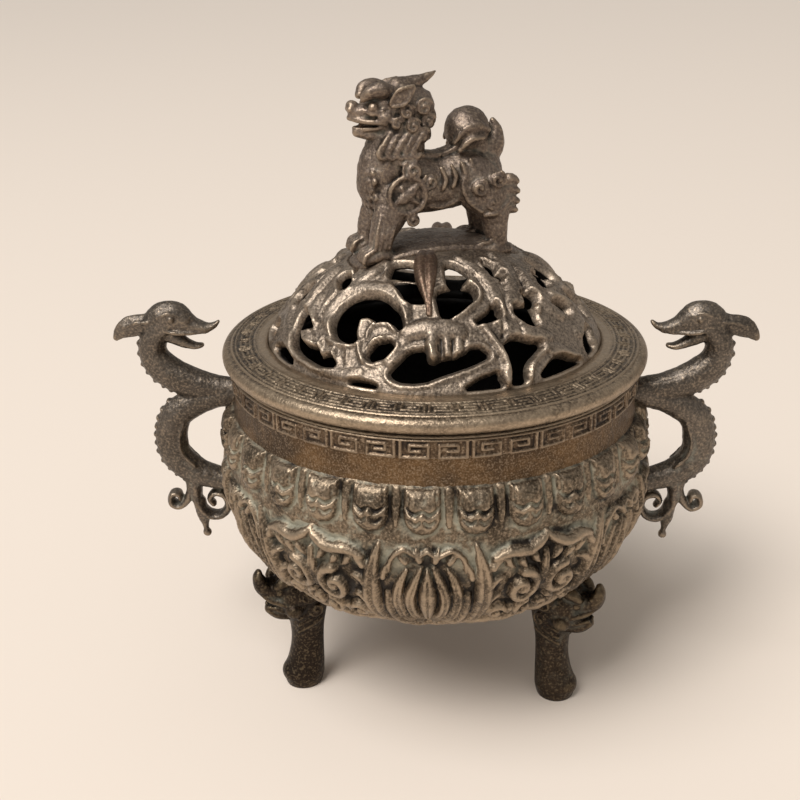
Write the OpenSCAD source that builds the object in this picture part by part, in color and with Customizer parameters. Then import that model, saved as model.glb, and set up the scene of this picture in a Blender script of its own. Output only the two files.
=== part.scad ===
// Tripod incense burner: a round bowl on three beast-mask legs, two bird-headed scroll handles,
// and a lift-off lid with a pierced scroll dome and a guardian lion on top.
// Units are millimetres. The bowl's axis is Z, the table is Z = 0 and the front faces -Y.

/* [Bowl] */
// Outer radius of the bowl at its mouth
mouth_r = 36.3; // [35:0.1:38]
// Height of the bowl's lip above the table
mouth_z = 62.6; // [60:0.1:66]
// Depth of the straight band below the lip
band_h = 3.8; // [2:0.1:6]
// Outer radius of the belly
belly_r = 38.1; // [37:0.1:40]
// Height of the widest part of the belly
belly_z = 43; // [40:0.5:46]
// Radius of the flat under the bowl
base_r = 12; // [8:0.5:14]
// Height of the bowl's underside above the table
base_z = 19.4; // [18:0.1:21]
// Thickness of the cast wall
wall = 2.2; // [1.8:0.1:2.6]

/* [Relief] */
// Height that the cast relief stands proud of the wall
relief_h = 1.1; // [0.8:0.1:1.6]
// Number of lotus petals round the shoulder
petal_count = 28; // [24:1:32]
// Direction of the first petal, in degrees from the front
petal_turn = -2.7; // [-6:0.1:6]
// Height of the petals' upper edge above the table
petal_top_z = 53.8; // [52:0.1:55]
// Width of a petal
petal_w = 5.6; // [4.6:0.1:6.4]
// Length of a petal
petal_l = 8.2; // [7:0.1:9]
// Number of lotus palmettes round the belly
palmette_count = 6; // [4:1:8]
// Direction of the first palmette, in degrees from the front
palmette_turn = -1.5; // [-6:0.1:6]

/* [Legs] */
// Radius of the circle that the feet stand on
leg_ring_r = 26.6; // [25:0.1:28]
// Direction of the front left leg, in degrees from the front
leg_turn = -64; // [-70:1:-56]
// Radius of the shank at its thinnest
shank_r = 3.1; // [2.6:0.1:3.6]
// Radius of the foot
foot_r = 3.7; // [3.2:0.1:4.2]
// Radius of the beast's skull at the knee
mask_r = 4.6; // [4:0.1:5.2]

/* [Handles] */
// Height of the lower tenon's axis
handle_low_z = 36.8; // [35:0.1:38]
// Height of the upper tenon's axis
handle_top_z = 55.5; // [54:0.1:57]
// Thickness of the handle across the hand
handle_t = 5.4; // [4.6:0.1:6.4]

/* [Lid] */
// Outer radius of the lid's rolled edge on a mouth of 36.3
lid_r = 38; // [37.4:0.1:40]
// Height of the rolled edge
lid_edge_h = 2.7; // [2.2:0.1:3.4]
// Rise of the lid's top from the edge to the dome
lid_rise = 0.9; // [0.5:0.1:1.6]
// Depth of the spigot that locates the lid in the mouth
spigot_h = 4; // [3:0.1:6]
// Thickness of the spigot
spigot_t = 1.8; // [1.4:0.1:2.2]
// Radial clearance of the spigot in the mouth
lid_clear = 0.4; // [0.3:0.05:0.8]
// Thickness of the ledge that carries the dome
ledge_t = 1.4; // [1:0.1:2]
// Radius of the dome's foot ring
dome_foot_r = 29.7; // [29:0.1:30.4]
// Radius of the sphere that the pierced dome follows
dome_r = 33.8; // [33:0.1:36]
// Thickness of the pierced dome
dome_t = 2.3; // [1.8:0.1:2.8]
// Width of a plain strand of the pierced dome
vine_w = 2.5; // [2:0.1:3]

/* [Lion] */
// Height of the lion from the dome's crown to the tip of its horn
lion_h = 27.8; // [25:0.1:30]
// Turn of the lion towards the front, in degrees
lion_yaw = 18; // [10:1:24]
// Length of the plate that the lion stands on
plate_l = 30; // [28:0.5:33]
// Width of the plate
plate_w = 13; // [12:0.5:15]
// Thickness of the plate
plate_t = 1.7; // [1.4:0.1:2]
// Height of the plate's top above the dome's sphere
plate_rise = 0.4; // [0.2:0.1:0.8]
// Radius of the stud under the plate
stud_r = 1.5; // [1.2:0.1:2]
// Width of the nut across its corners
nut_d = 6.8; // [6:0.1:8]
// Thickness of the nut
nut_h = 2.4; // [2:0.1:3]

/* [Ash dish] */
// Radius of the ash dish at its rim
dish_r = 22.5; // [20:0.5:26]
// Height of the ash dish
dish_h = 9.5; // [8:0.5:11]
// Thickness of the ash dish
dish_t = 1.2; // [0.9:0.1:1.6]

/* [Fits] */
// Gap of a brazed seam
seam = 0.1; // [0.05:0.01:0.2]
// Radius of a tenon through the bowl's wall
tenon_r = 1.5; // [1.2:0.1:1.8]
// Radial clearance of a tenon or a stud in its hole
tenon_clear = 0.08; // [0.05:0.01:0.15]
// Gap under the lid and under the dish at rest
seat_gap = 0.05; // [0.02:0.01:0.1]

/* [Hidden] */
$fn = 96;

bronze = "#6b5a48";
dark_bronze = "#4f4236";
worn_bronze = "#8c7757";
brass = "#a58a52";

// The lid's edge follows a mouth that is wider or narrower than the drawn one
drawn_mouth_r = 36.3;
lid_out_r = lid_r + mouth_r - drawn_mouth_r;

// Levels of the lid, from its seat on the lip upwards
seat_z = mouth_z + seat_gap;
under_z = seat_z + 0.5;
edge_top_z = under_z + lid_edge_h;
lid_top_z = edge_top_z + lid_rise;
ledge_z = seat_z + ledge_t;
spigot_r = mouth_r - wall - lid_clear;
dome_bore_r = dome_foot_r + seam;
ledge_r = dome_foot_r - dome_t;

// The dome's sphere passes through the top of its foot ring
dome_c = lid_top_z - sqrt(dome_r * dome_r - dome_foot_r * dome_foot_r);
plate_top_r = dome_r + plate_rise;
plate_under_r = plate_top_r - plate_t;
crown_r = plate_under_r - seam;
crown_t = 0.7 * dome_t;
crown_in_r = crown_r - crown_t;
foot_angle = 62.5;
// Angles down from the crown are drawn for a foot at 61.5 degrees and follow the real one
drawn_foot = 61.5;
turn_down = asin(dome_foot_r / dome_r) / drawn_foot;
dome_k = dome_t / 2.3;
crown_z = dome_c + dome_r;
nut_top_z = dome_c + sqrt(crown_in_r * crown_in_r - nut_d * nut_d / 4) - seat_gap;

// The lion and the handles are drawn at their photographed size and follow these two factors
lion_s = lion_h / 27.8;
handle_s = (handle_top_z - handle_low_z) / 18.7;
// The handles start at the belly, or further out where the mouth is wider than it
handle_root = max(belly_r, mouth_r + 1.8 * handle_s);

floor_z = base_z + wall;
// The legs are drawn for a bowl that stands 19.4 high and follow its height
leg_s = base_z / 19.4;

// Curves
function unit(v) = v / norm(v);
function bezier(a, b, c, d, t) =
    a * pow(1 - t, 3) + 3 * b * t * pow(1 - t, 2) + 3 * c * t * t * (1 - t) + d * pow(t, 3);
function catmull(a, b, c, d, t) =
    0.5 * (2 * b + (c - a) * t + (2 * a - 5 * b + 4 * c - d) * t * t + (3 * b - a - 3 * c + d) * pow(t, 3));
function spline(p, per) = concat(
    [for (i = [0 : len(p) - 2], k = [0 : per - 1])
        catmull(p[max(i - 1, 0)], p[i], p[i + 1], p[min(i + 2, len(p) - 1)], k / per)],
    [p[len(p) - 1]]);

// Half outline of the bowl, from the lip to the middle of the underside
function bowl_side(rm, zn, rb, r0, z0) = concat(
    [for (k = [0 : 6]) bezier([rm, zn], [rm, zn - 6], [rb, belly_z + 6], [rb, belly_z], k / 6)],
    [for (k = [1 : 14])
        bezier([rb, belly_z], [rb, belly_z - 0.6 * (belly_z - z0)],
               [r0 + 0.56 * (rb - r0), z0], [r0, z0], k / 14)],
    [[0, z0]]);

// Height of the bowl's outside below the belly, at radius r
function under_side(r) = lookup(r, [for (p = bowl_side(mouth_r, mouth_z - band_h, belly_r, base_r, base_z))
    if (p[1] <= belly_z) p]);

// Radius of the bowl's outside at height z, and the direction out of it there, as radius and height
function side_r(z) = lookup(z, [for (p = bowl_side(mouth_r, mouth_z - band_h, belly_r, base_r, base_z))
    if (p[0] > 0) [p[1], p[0]]]);
function side_n(z) = unit([1, side_r(z - 0.5) - side_r(z + 0.5)]);

// Point at a direction from the front and a height, out from the bowl's wall
function on_bowl(a, z, out) = let (n = side_n(z), r = side_r(z) + out * n[0])
    [r * sin(a), -r * cos(a), z + out * n[1]];

// Degrees either side of a handle that stay plain
plain_field = asin(8.4 / belly_r);

// Degrees between a direction and the nearer handle
function from_handle(a) = abs(90 - abs(((a + 180) % 360 + 360) % 360 - 180));

// Top of a leg's tenon, most of the way through the wall
leg_tenon_top = under_side(leg_ring_r) + 0.7 * wall;

inner_side = bowl_side(mouth_r - wall, mouth_z - band_h, belly_r - wall, base_r, base_z + wall);

function bowl_outer(g) = concat([[0, mouth_z], [mouth_r + g, mouth_z]],
    bowl_side(mouth_r + g, mouth_z - band_h, belly_r + g, base_r, base_z - g));

// Solid of the bowl's outside, grown by g, for fitting what is joined to the bowl
module bowl_core(g) {
    rotate_extrude($fn = 64) polygon(bowl_outer(g));
}

// Closed skin over a stack of rings that have equal numbers of points
module skin(rings) {
    n = len(rings[0]);
    m = len(rings);
    sides = [for (i = [0 : m - 2], j = [0 : n - 1])
        [i * n + j, i * n + (j + 1) % n, (i + 1) * n + (j + 1) % n, (i + 1) * n + j]];
    start = [for (j = [n - 1 : -1 : 0]) j];
    end = [for (j = [0 : n - 1]) (m - 1) * n + j];
    polyhedron([for (r = rings) each r], concat(sides, [start, end]), convexity = 6);
}

// Limb with an oval section in the XZ plane: each row is x, z, half depth in the plane
// and half width across it
module limb(rows, per = 2, sides = 8) {
    s = spline(rows, per);
    last = len(s) - 1;
    function along(i) = let (d = s[min(i + 1, last)] - s[max(i - 1, 0)]) unit([d[0], d[1]]);
    function ring(i, k, off) = let (t = along(i), c = [s[i][0], s[i][1]] + t * off * s[i][2])
        [for (j = [0 : sides - 1]) let (a = 360 * j / sides)
            [c[0] - t[1] * s[i][2] * k * cos(a), s[i][3] * k * sin(a), c[1] + t[0] * s[i][2] * k * cos(a)]];
    skin(concat([ring(0, 0.55, -0.7)], [for (i = [0 : last]) ring(i, 1, 0)], [ring(last, 0.55, 0.7)]));
}

// Rounded pod between two points, turned from one profile
module pod(a, b, r1, r2) {
    d = b - a;
    len_ab = norm(d);
    translate(a)
        rotate([0, acos(d[2] / len_ab), atan2(d[1], d[0])])
            rotate_extrude()
                polygon(concat(
                    [for (k = [-90 : 22.5 : -22.5]) [r1 * cos(k), r1 * sin(k)]],
                    [[r1, 0], [r2, len_ab]],
                    [for (k = [22.5 : 22.5 : 90]) [r2 * cos(k), len_ab + r2 * sin(k)]]));
}

// Leg, drawn with its outward side along X and its axis at the origin
module leg_body() {
    k = leg_s;
    knee_z = base_z + 1.4 * k;
    snout = mask_r + 3.4 * k;
    rotate_extrude()
        polygon(concat([[0, 0]],
            spline([[foot_r - k, 0], [foot_r, 2.2 * k], [foot_r - 0.3 * k, 4.6 * k], [shank_r, 8.5 * k],
                    [shank_r + 0.1 * k, 12 * k], [shank_r + k, knee_z - 3.5 * k],
                        [shank_r + 1.3 * k, knee_z],
                    [shank_r + 1.1 * k, knee_z + 8 * k]], 3),
            [[0, knee_z + 8 * k]]));
    difference() {
        translate([1.8 * k, 0, 2.9 * k]) sphere(r = foot_r - 0.3 * k);
        translate([-10 * k, -10 * k, -10 * k]) cube([20 * k, 20 * k, 10 * k]);
    }
    translate([2.4 * k, 0, knee_z - 0.6 * k]) sphere(r = mask_r);
    // upper jaw with the snout curled up, and the lower jaw
    pod([4 * k, 0, knee_z - 0.4 * k], [snout, 0, knee_z + 1.4 * k], 2.6 * k, 1.9 * k);
    pod([snout - 0.1 * k, 0, knee_z + 1.2 * k], [snout + k, 0, knee_z + 4.6 * k], 1.8 * k, 1.2 * k);
    pod([3 * k, 0, knee_z - 4.4 * k], [snout - 0.6 * k, 0, knee_z - 3.4 * k], 2 * k, 1.1 * k);
    for (s = [-1, 1]) {
        // brow, cheek and mane lock on each side
        pod([3.4 * k, s * 2.2 * k, knee_z + 3 * k], [mask_r + 1.2 * k, s * 2.7 * k, knee_z + 2 * k],
            1.3 * k, 0.9 * k);
        translate([3.6 * k, s * 3.4 * k, knee_z - 2.4 * k]) sphere(r = 1.9 * k);
        translate([0.4 * k, s * 4.1 * k, knee_z + 0.6 * k]) sphere(r = 2.3 * k);
    }
}

module leg(turn) {
    color(dark_bronze)
        rotate([0, 0, turn - 90])
            union() {
                difference() {
                    translate([leg_ring_r, 0, 0]) leg_body();
                    bowl_core(seam);
                }
                // tenon up through the bowl's wall
                translate([leg_ring_r, 0, base_z - 4])
                    cylinder(r = tenon_r, h = leg_tenon_top - base_z + 4);
            }
}

// Form raised on the bowl: the outline lies on the wall about a direction and a height
module raised(a, z) {
    bite = 0.45 * wall;
    translate(on_bowl(a, z, -bite))
        rotate([acos(side_n(z)[1]), 0, a])
            linear_extrude(bite + relief_h) children();
}

// Lotus petal of the shoulder
module petal() {
    half = [[0.5, 0.5], [0.5, -0.14], [0.34, -0.36], [0, -0.5]];
    outline = concat(half, [for (i = [2 : -1 : 0]) [-half[i][0], half[i][1]]]);
    polygon([for (p = outline) [p[0] * petal_w, p[1] * petal_l]]);
}

// Lotus palmette with its leaves, volutes and clouds, about direction a
module palmette(a) {
    k = 6 / palmette_count;
    raised(a, belly_z - 7.4)
        polygon([[0, -5.2], [1.2, -3], [1.6, 0], [1, 3], [0, 5], [-1, 3], [-1.6, 0], [-1.2, -3]]);
    for (s = [-1, 1]) {
        raised(a + s * k * 6.6, belly_z - 8.6)
            scale([s, 1])
                polygon([[-1.6, -4.2], [0.8, -2.4], [2, 0.6], [1.4, 3.6], [0.4, 4.4], [0.9, 1.6],
                    [0.2, -1], [-1.2, -2.9]]);
        raised(a + s * k * 13, belly_z - 7.8)
            scale([s, 1])
                polygon([[1.2, -4.8], [-0.6, -2.6], [-1.2, 0.6], [-0.3, 3.4], [1.4, 5], [0.9, 2.6],
                    [0.7, 0], [1, -2.4]]);
        // the volutes and the clouds stop short of the handles
        if (from_handle(a + s * k * 21) > plain_field)
            raised(a + s * k * 21, belly_z - 6.2)
                difference() {
                    circle(r = 3.2);
                    circle(r = 1.5);
                }
        if (from_handle(a + s * k * 20.6) > plain_field)
            raised(a + s * k * 20.6, belly_z + 0.2)
                scale([s, 1])
                    polygon([[-3.6, -0.4], [-1.6, 0.7], [1, 0.8], [3.2, -0.2], [3.8, -1.6],
                        [2.4, -1], [0.6, -0.5], [-1.6, -0.5]]);
    }
}

module bowl() {
    color(bronze)
        difference() {
            union() {
                rotate_extrude()
                    polygon(concat(
                        [[mouth_r - wall, mouth_z], [mouth_r - 0.4, mouth_z], [mouth_r, mouth_z - 0.4]],
                        bowl_side(mouth_r, mouth_z - band_h, belly_r, base_r, base_z),
                        [for (p = [len(inner_side) - 1 : -1 : 0]) inner_side[p]]));
                // the wall stays plain inside the handles
                for (i = [0 : petal_count - 1])
                    let (a = petal_turn + 360 * i / petal_count)
                        if (from_handle(a) > plain_field)
                            raised(a, petal_top_z - petal_l / 2) petal();
                for (i = [0 : palmette_count - 1])
                    palmette(palmette_turn + 360 * i / palmette_count);
            }
            for (t = [0 : 2])
                rotate([0, 0, leg_turn + 120 * t - 90])
                    translate([leg_ring_r, 0, base_z - 2])
                        cylinder(r = tenon_r + tenon_clear, h = 12);
            for (z = [handle_low_z, handle_top_z])
                translate([-belly_r - 2, 0, z])
                    rotate([0, 90, 0]) cylinder(r = tenon_r + tenon_clear, h = 2 * belly_r + 4);
        }
}

// Handle scrolls: out from the belly and up from the lower tenon, then half depth and half width
function hand(rows) = [for (r = rows)
    [handle_root + handle_s * r[0], handle_low_z + handle_s * r[1], handle_s * r[2], r[3] * handle_t / 2]];

// Right handle, in the XZ plane
module handle_body() {
    // neck of the bird, out of the upper arm
    limb(hand([[-5, 18.7, 2.1, 0.8], [2, 19, 2.3, 0.9], [7, 20.2, 2.9, 1], [11.2, 22.8, 3.3, 1],
               [12.9, 26.3, 3.2, 1], [11.8, 30, 3.1, 1], [9.6, 32.2, 3, 1]]));
    // lower scroll
    limb(hand([[1, 17.4, 2, 0.8], [5.4, 16.4, 2.5, 0.9], [9.6, 13.8, 2.9, 1], [11.1, 9.6, 3, 1],
               [10.6, 5.4, 3, 1], [7.6, 2.2, 2.9, 1], [2.6, 0.2, 2.2, 0.9], [-5, 0, 1.9, 0.8]]));
    // skull, upper beak and lower beak
    limb(hand([[12, 31.4, 2.6, 0.8], [9.6, 32, 3.2, 1.05], [6.6, 31.4, 2.2, 0.9]]), 2, 10);
    limb(hand([[7, 31.5, 2, 0.8], [4.6, 31.4, 1.4, 0.6], [2.8, 30.8, 1, 0.42],
        [1.2, 31.4, 0.5, 0.2]]), 2, 6);
    limb(hand([[9.4, 29, 1.6, 0.8], [6.6, 27.6, 0.9, 0.5], [4.2, 27.2, 0.5, 0.3]]), 2, 6);
    // crest swept outwards
    limb(hand([[11, 32, 2.2, 0.7], [15, 30.6, 2.1, 0.5], [18.2, 29.6, 1.3, 0.35],
        [19.6, 28.8, 0.5, 0.2]]), 2, 6);
    // two volutes and a pendant bud under the lower arm
    limb(hand([[8.4, 2, 1.4, 0.8], [8.2, -1.6, 1, 0.7], [9.2, -4.2, 0.8, 0.65], [10.9, -5.5, 0.7, 0.65],
               [12.2, -4.4, 0.7, 0.65], [11.6, -2.8, 0.7, 0.6]]), 2, 6);
    limb(hand([[7, 1.6, 1.8, 0.9], [7.2, -2, 1.3, 0.8], [6.8, -5.2, 1, 0.75], [4.8, -7.4, 0.9, 0.7],
               [2.4, -7, 0.9, 0.7], [1.2, -4.8, 0.9, 0.7], [2.4, -3, 0.8, 0.65]]), 2, 6);
    limb(hand([[6.6, -5, 1.5, 0.7], [6.2, -8.6, 1.3, 0.6], [5.9, -11.4, 0.7, 0.3]]), 2, 6);
    // serrated spine down the neck and the scroll's back
    for (p = [[15.6, 26.6], [15.2, 23.4], [13.2, 20.8], [10.6, 18.6], [12.8, 14.2], [14, 11],
        [14, 7.6], [12.4, 3.8]])
        translate([handle_root + handle_s * p[0], 0, handle_low_z + handle_s * p[1]])
            hull() {
                sphere(r = 0.9 * handle_s, $fn = 6);
                translate([-2 * handle_s, 0, 1.2 * handle_s]) sphere(r = 1.1 * handle_s, $fn = 6);
            }
}

module handle() {
    color(worn_bronze)
        union() {
            difference() {
                handle_body();
                bowl_core(seam);
            }
            // tenons through the bowl's wall: inner end and height
            for (t = [[belly_r - wall - 0.6, handle_low_z], [mouth_r - wall, handle_top_z]])
                translate([t[0], 0, t[1]])
                    rotate([0, 90, 0]) cylinder(r = tenon_r, h = handle_root + 2 - t[0], $fn = 16);
        }
}

module lid_rim() {
    mid_z = under_z + lid_edge_h / 2;
    edge_r = lid_edge_h / 2;
    color(worn_bronze)
        rotate_extrude()
            polygon(concat(
                [[spigot_r - spigot_t, seat_z - spigot_h], [spigot_r, seat_z - spigot_h],
                    [spigot_r, seat_z],
                 [mouth_r - 0.6, seat_z], [mouth_r - 0.3, under_z]],
                [for (a = [-90 : 22.5 : 90])
                    [lid_out_r - edge_r + edge_r * cos(a), mid_z + edge_r * sin(a)]],
                [[dome_bore_r, lid_top_z], [dome_bore_r, ledge_z], [ledge_r, ledge_z], [ledge_r, seat_z],
                 [spigot_r - spigot_t, seat_z]]));
}

// Strands of the front half of the dome: direction from the front, angle down from the crown, width factor
bud = [[0, 13, 1.2], [0, 18, 2.1], [0, 23, 2.3], [0, 28, 1.4], [0, 34, 0.9], [0, 42, 1]];
ring_scroll = [[3, 41.5, 1], [-9, 38.5, 1.1], [-17, 33, 1.1], [-28, 29, 1.1], [-40, 30.5, 1.1],
    [-48, 37, 1.1],
               [-50, 45, 1.1]];
curled_leaf = [[-11, 42.5, 1], [-20, 42, 1.7], [-27, 45, 1.5], [-29, 51, 1]];
ruffled_leaf = [[-61, 46, 1], [-50, 49.5, 2], [-38, 51, 2.2], [-28, 53.5, 1.8], [-19, 55, 1]];
great_scroll = [[-58, 30, 1], [-68, 36, 1], [-73, 44, 1], [-68, 52, 1], [-56, 57.5, 1], [-42, 60.5, 1],
                [-30, 60, 1], [-20, 55, 1], [-13, 48, 1], [-5, 43, 1]];
low_loop = [[-20, 55, 1], [-19, 59.5, 1], [-9, 62.5, 1], [2, 60.5, 1], [12, 56, 1], [23, 51.5, 1]];
centre_bar = [[-12, 42, 1], [0, 43.5, 1.8], [10, 43.5, 1.8], [20, 43, 1.2]];
tongue = [[0, 44, 1.2], [0, 50, 1], [0, 55, 0.6]];
lobe = [[8, 45, 1.4], [10, 48, 1.4], [12, 51, 0.8]];
right_vine = [[10, 42, 1], [19, 43.5, 1], [24, 50, 1], [25.5, 57, 1], [25, 64, 1.1]];
right_leaf = [[20, 42, 1.1], [31, 43, 1.7], [42, 45.5, 1.6], [52, 50, 1.3], [61, 54.5, 1.1], [66, 60, 1],
              [68, 64, 1.1]];
low_right = [[50, 49, 1.1], [41, 51.5, 1.2], [35, 57.5, 1.2], [32, 64, 1.3]];
right_curl = [[11, 28, 0.8], [16, 25.5, 1.1], [22, 28, 1.1], [27, 35, 1], [30, 43, 1]];
top_strap = [[-3, 25, 0.9], [-18, 25, 1.1], [-31, 24, 1.1], [-46, 23.5, 1.1], [-58, 30, 1]];
right_strap = [[22, 28, 1], [34, 26, 1], [50, 27, 1], [66, 36, 1], [75, 50, 1], [76, 64, 1.1]];
right_stem = [[48, 27, 1], [56, 36, 1.2], [59, 44, 1.2], [56, 52, 1]];
mid_stem = [[49, 13, 1.2], [45, 22, 1], [39, 30, 1], [37, 38, 1], [40, 46, 1]];
side_bridge = [[74, 46, 1], [85, 43, 1], [96, 38, 1], [108, 37, 1]];
side_stem = [[86, 13, 1.2], [88, 24, 1], [86, 34, 1], [86, 43, 1]];
edge_scroll = [[-73, 44, 1], [-82, 49, 1], [-87, 57, 1], [-84, 64, 1.1]];
STRANDS = [bud, ring_scroll, curled_leaf, ruffled_leaf, great_scroll, low_loop, centre_bar, tongue, lobe,
           right_vine, right_leaf, low_right, right_curl, top_strap, right_strap, right_stem, mid_stem,
           side_bridge, side_stem, edge_scroll,
           [[-33, 13, 1.2], [-31, 20, 1], [-28, 29, 1]], [[-62, 13, 1.2], [-60, 22, 1], [-58, 30, 1]],
           [[24, 13, 1.2], [23, 20, 1], [21, 28, 1]]];

function on_dome(p, r) = let (t = p[1] * turn_down)
    [r * sin(t) * sin(p[0]), -r * sin(t) * cos(p[0]), dome_c + r * cos(t)];

// True where a point of the dome lies under the lion's plate
function under_plate(p) = let (c = on_dome(p, dome_r), f = lion_yaw)
    abs(c[0] * cos(f) + c[1] * sin(f)) < plate_l / 2 + 2
        && abs(c[1] * cos(f) - c[0] * sin(f)) < plate_w / 2 + 2;

// Middle and half thickness of a strand: it runs into the crown and into the foot ring,
// and layer sets it lower
function strand_mid(p, layer) = under_plate(p) ? crown_r - crown_t / 2
    : p[1] > foot_angle ? dome_r - dome_t / 2 - 0.4 * dome_k : dome_r - layer - dome_t / 2;
function strand_half(p) = under_plate(p) ? crown_t * 0.35 : p[1] > foot_angle ? dome_t * 0.3 : dome_t / 2;

// Strand of the pierced dome with a narrower back
module strand(rows, layer) {
    s = spline(rows, len(rows) > 5 ? 2 : 1);
    last = len(s) - 1;
    shape = [[-1, -1], [1, -1], [0.7, 1], [-0.7, 1]];
    function centre(i) = on_dome(s[i], strand_mid(s[i], layer));
    skin([for (i = [0 : last])
        let (c = centre(i),
             t = unit(centre(min(i + 1, last)) - centre(max(i - 1, 0))),
             up = unit(c - [0, 0, dome_c]),
             side = unit(cross(t, up)))
        [for (q = shape) c + side * q[0] * s[i][2] * vine_w / 2 + up * q[1] * strand_half(s[i])]]);
}

// Outline of the plate that the lion stands on, grown by g, between two spheres
module plate(g, under) {
    rotate([0, 0, lion_yaw])
        intersection() {
            translate([0, 0, dome_c])
                difference() {
                    sphere(r = plate_top_r + g, $fn = 32);
                    sphere(r = under, $fn = 32);
                }
            translate([0, 0, dome_c + under / 2])
                hull()
                    for (s = [-1, 1])
                        translate([s * (plate_l - plate_w) / 2, 0, 0])
                            cylinder(r = plate_w / 2 + g, h = under, $fn = 20);
        }
}

module lid_dome() {
    color(bronze)
        difference() {
            union() {
                for (turn = [0, 180])
                    rotate([0, 0, turn])
                        for (i = [0 : len(STRANDS) - 1])
                            strand(STRANDS[i], 0.12 * dome_k * (i % 4));
                // foot ring in the rim's seat
                translate([0, 0, ledge_z + seat_gap])
                    difference() {
                        cylinder(r = dome_foot_r, h = lid_top_z + 0.4 - ledge_z, $fn = 40);
                        translate([0, 0, -1]) cylinder(r = dome_foot_r - dome_t, h = 10, $fn = 40);
                    }
                // crown under the lion's plate
                rotate_extrude($fn = 28)
                    polygon(concat(
                        [for (a = [0 : 10 : 20]) [crown_r * sin(a), dome_c + crown_r * cos(a)]],
                        [for (a = [20 : -5 : 0]) [crown_in_r * sin(a), dome_c + crown_in_r * cos(a)]]));
                // leaf knuckles where the strands meet
                for (turn = [0, 180], p = [[0, 42], [-20, 55], [21, 43], [-28, 29]])
                    rotate([0, 0, turn])
                        hull() {
                            translate(on_dome(p, dome_r - 1.5 * dome_k)) sphere(r = 1.4 * dome_k, $fn = 6);
                            translate(on_dome(p + [4, 0], dome_r - 1.5 * dome_k))
                                sphere(r = 1.1 * dome_k, $fn = 6);
                        }
            }
            plate(seam, crown_r);
            // keep the strands out of the rim
            translate([0, 0, ledge_z - 1])
                difference() {
                    cylinder(r = dome_foot_r + 5, h = lid_top_z + seam - ledge_z + 1, $fn = 40);
                    translate([0, 0, -1]) cylinder(r = dome_foot_r + seam / 4, h = 12, $fn = 40);
                }
            translate([0, 0, dome_c]) cylinder(r = stud_r + tenon_clear, h = dome_r + 5, $fn = 16);
        }
}

// Ball of the lion's mane, mirrored to both sides when it lies off the middle
module lock(x, y, z, r) {
    for (s = y == 0 ? [1] : [-1, 1])
        translate([x, s * y, z])
            hull() {
                sphere(r = r, $fn = 6);
                translate([0.5 * r, -0.25 * s * r, 0.5 * r]) sphere(r = 0.6 * r, $fn = 6);
            }
}

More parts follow.
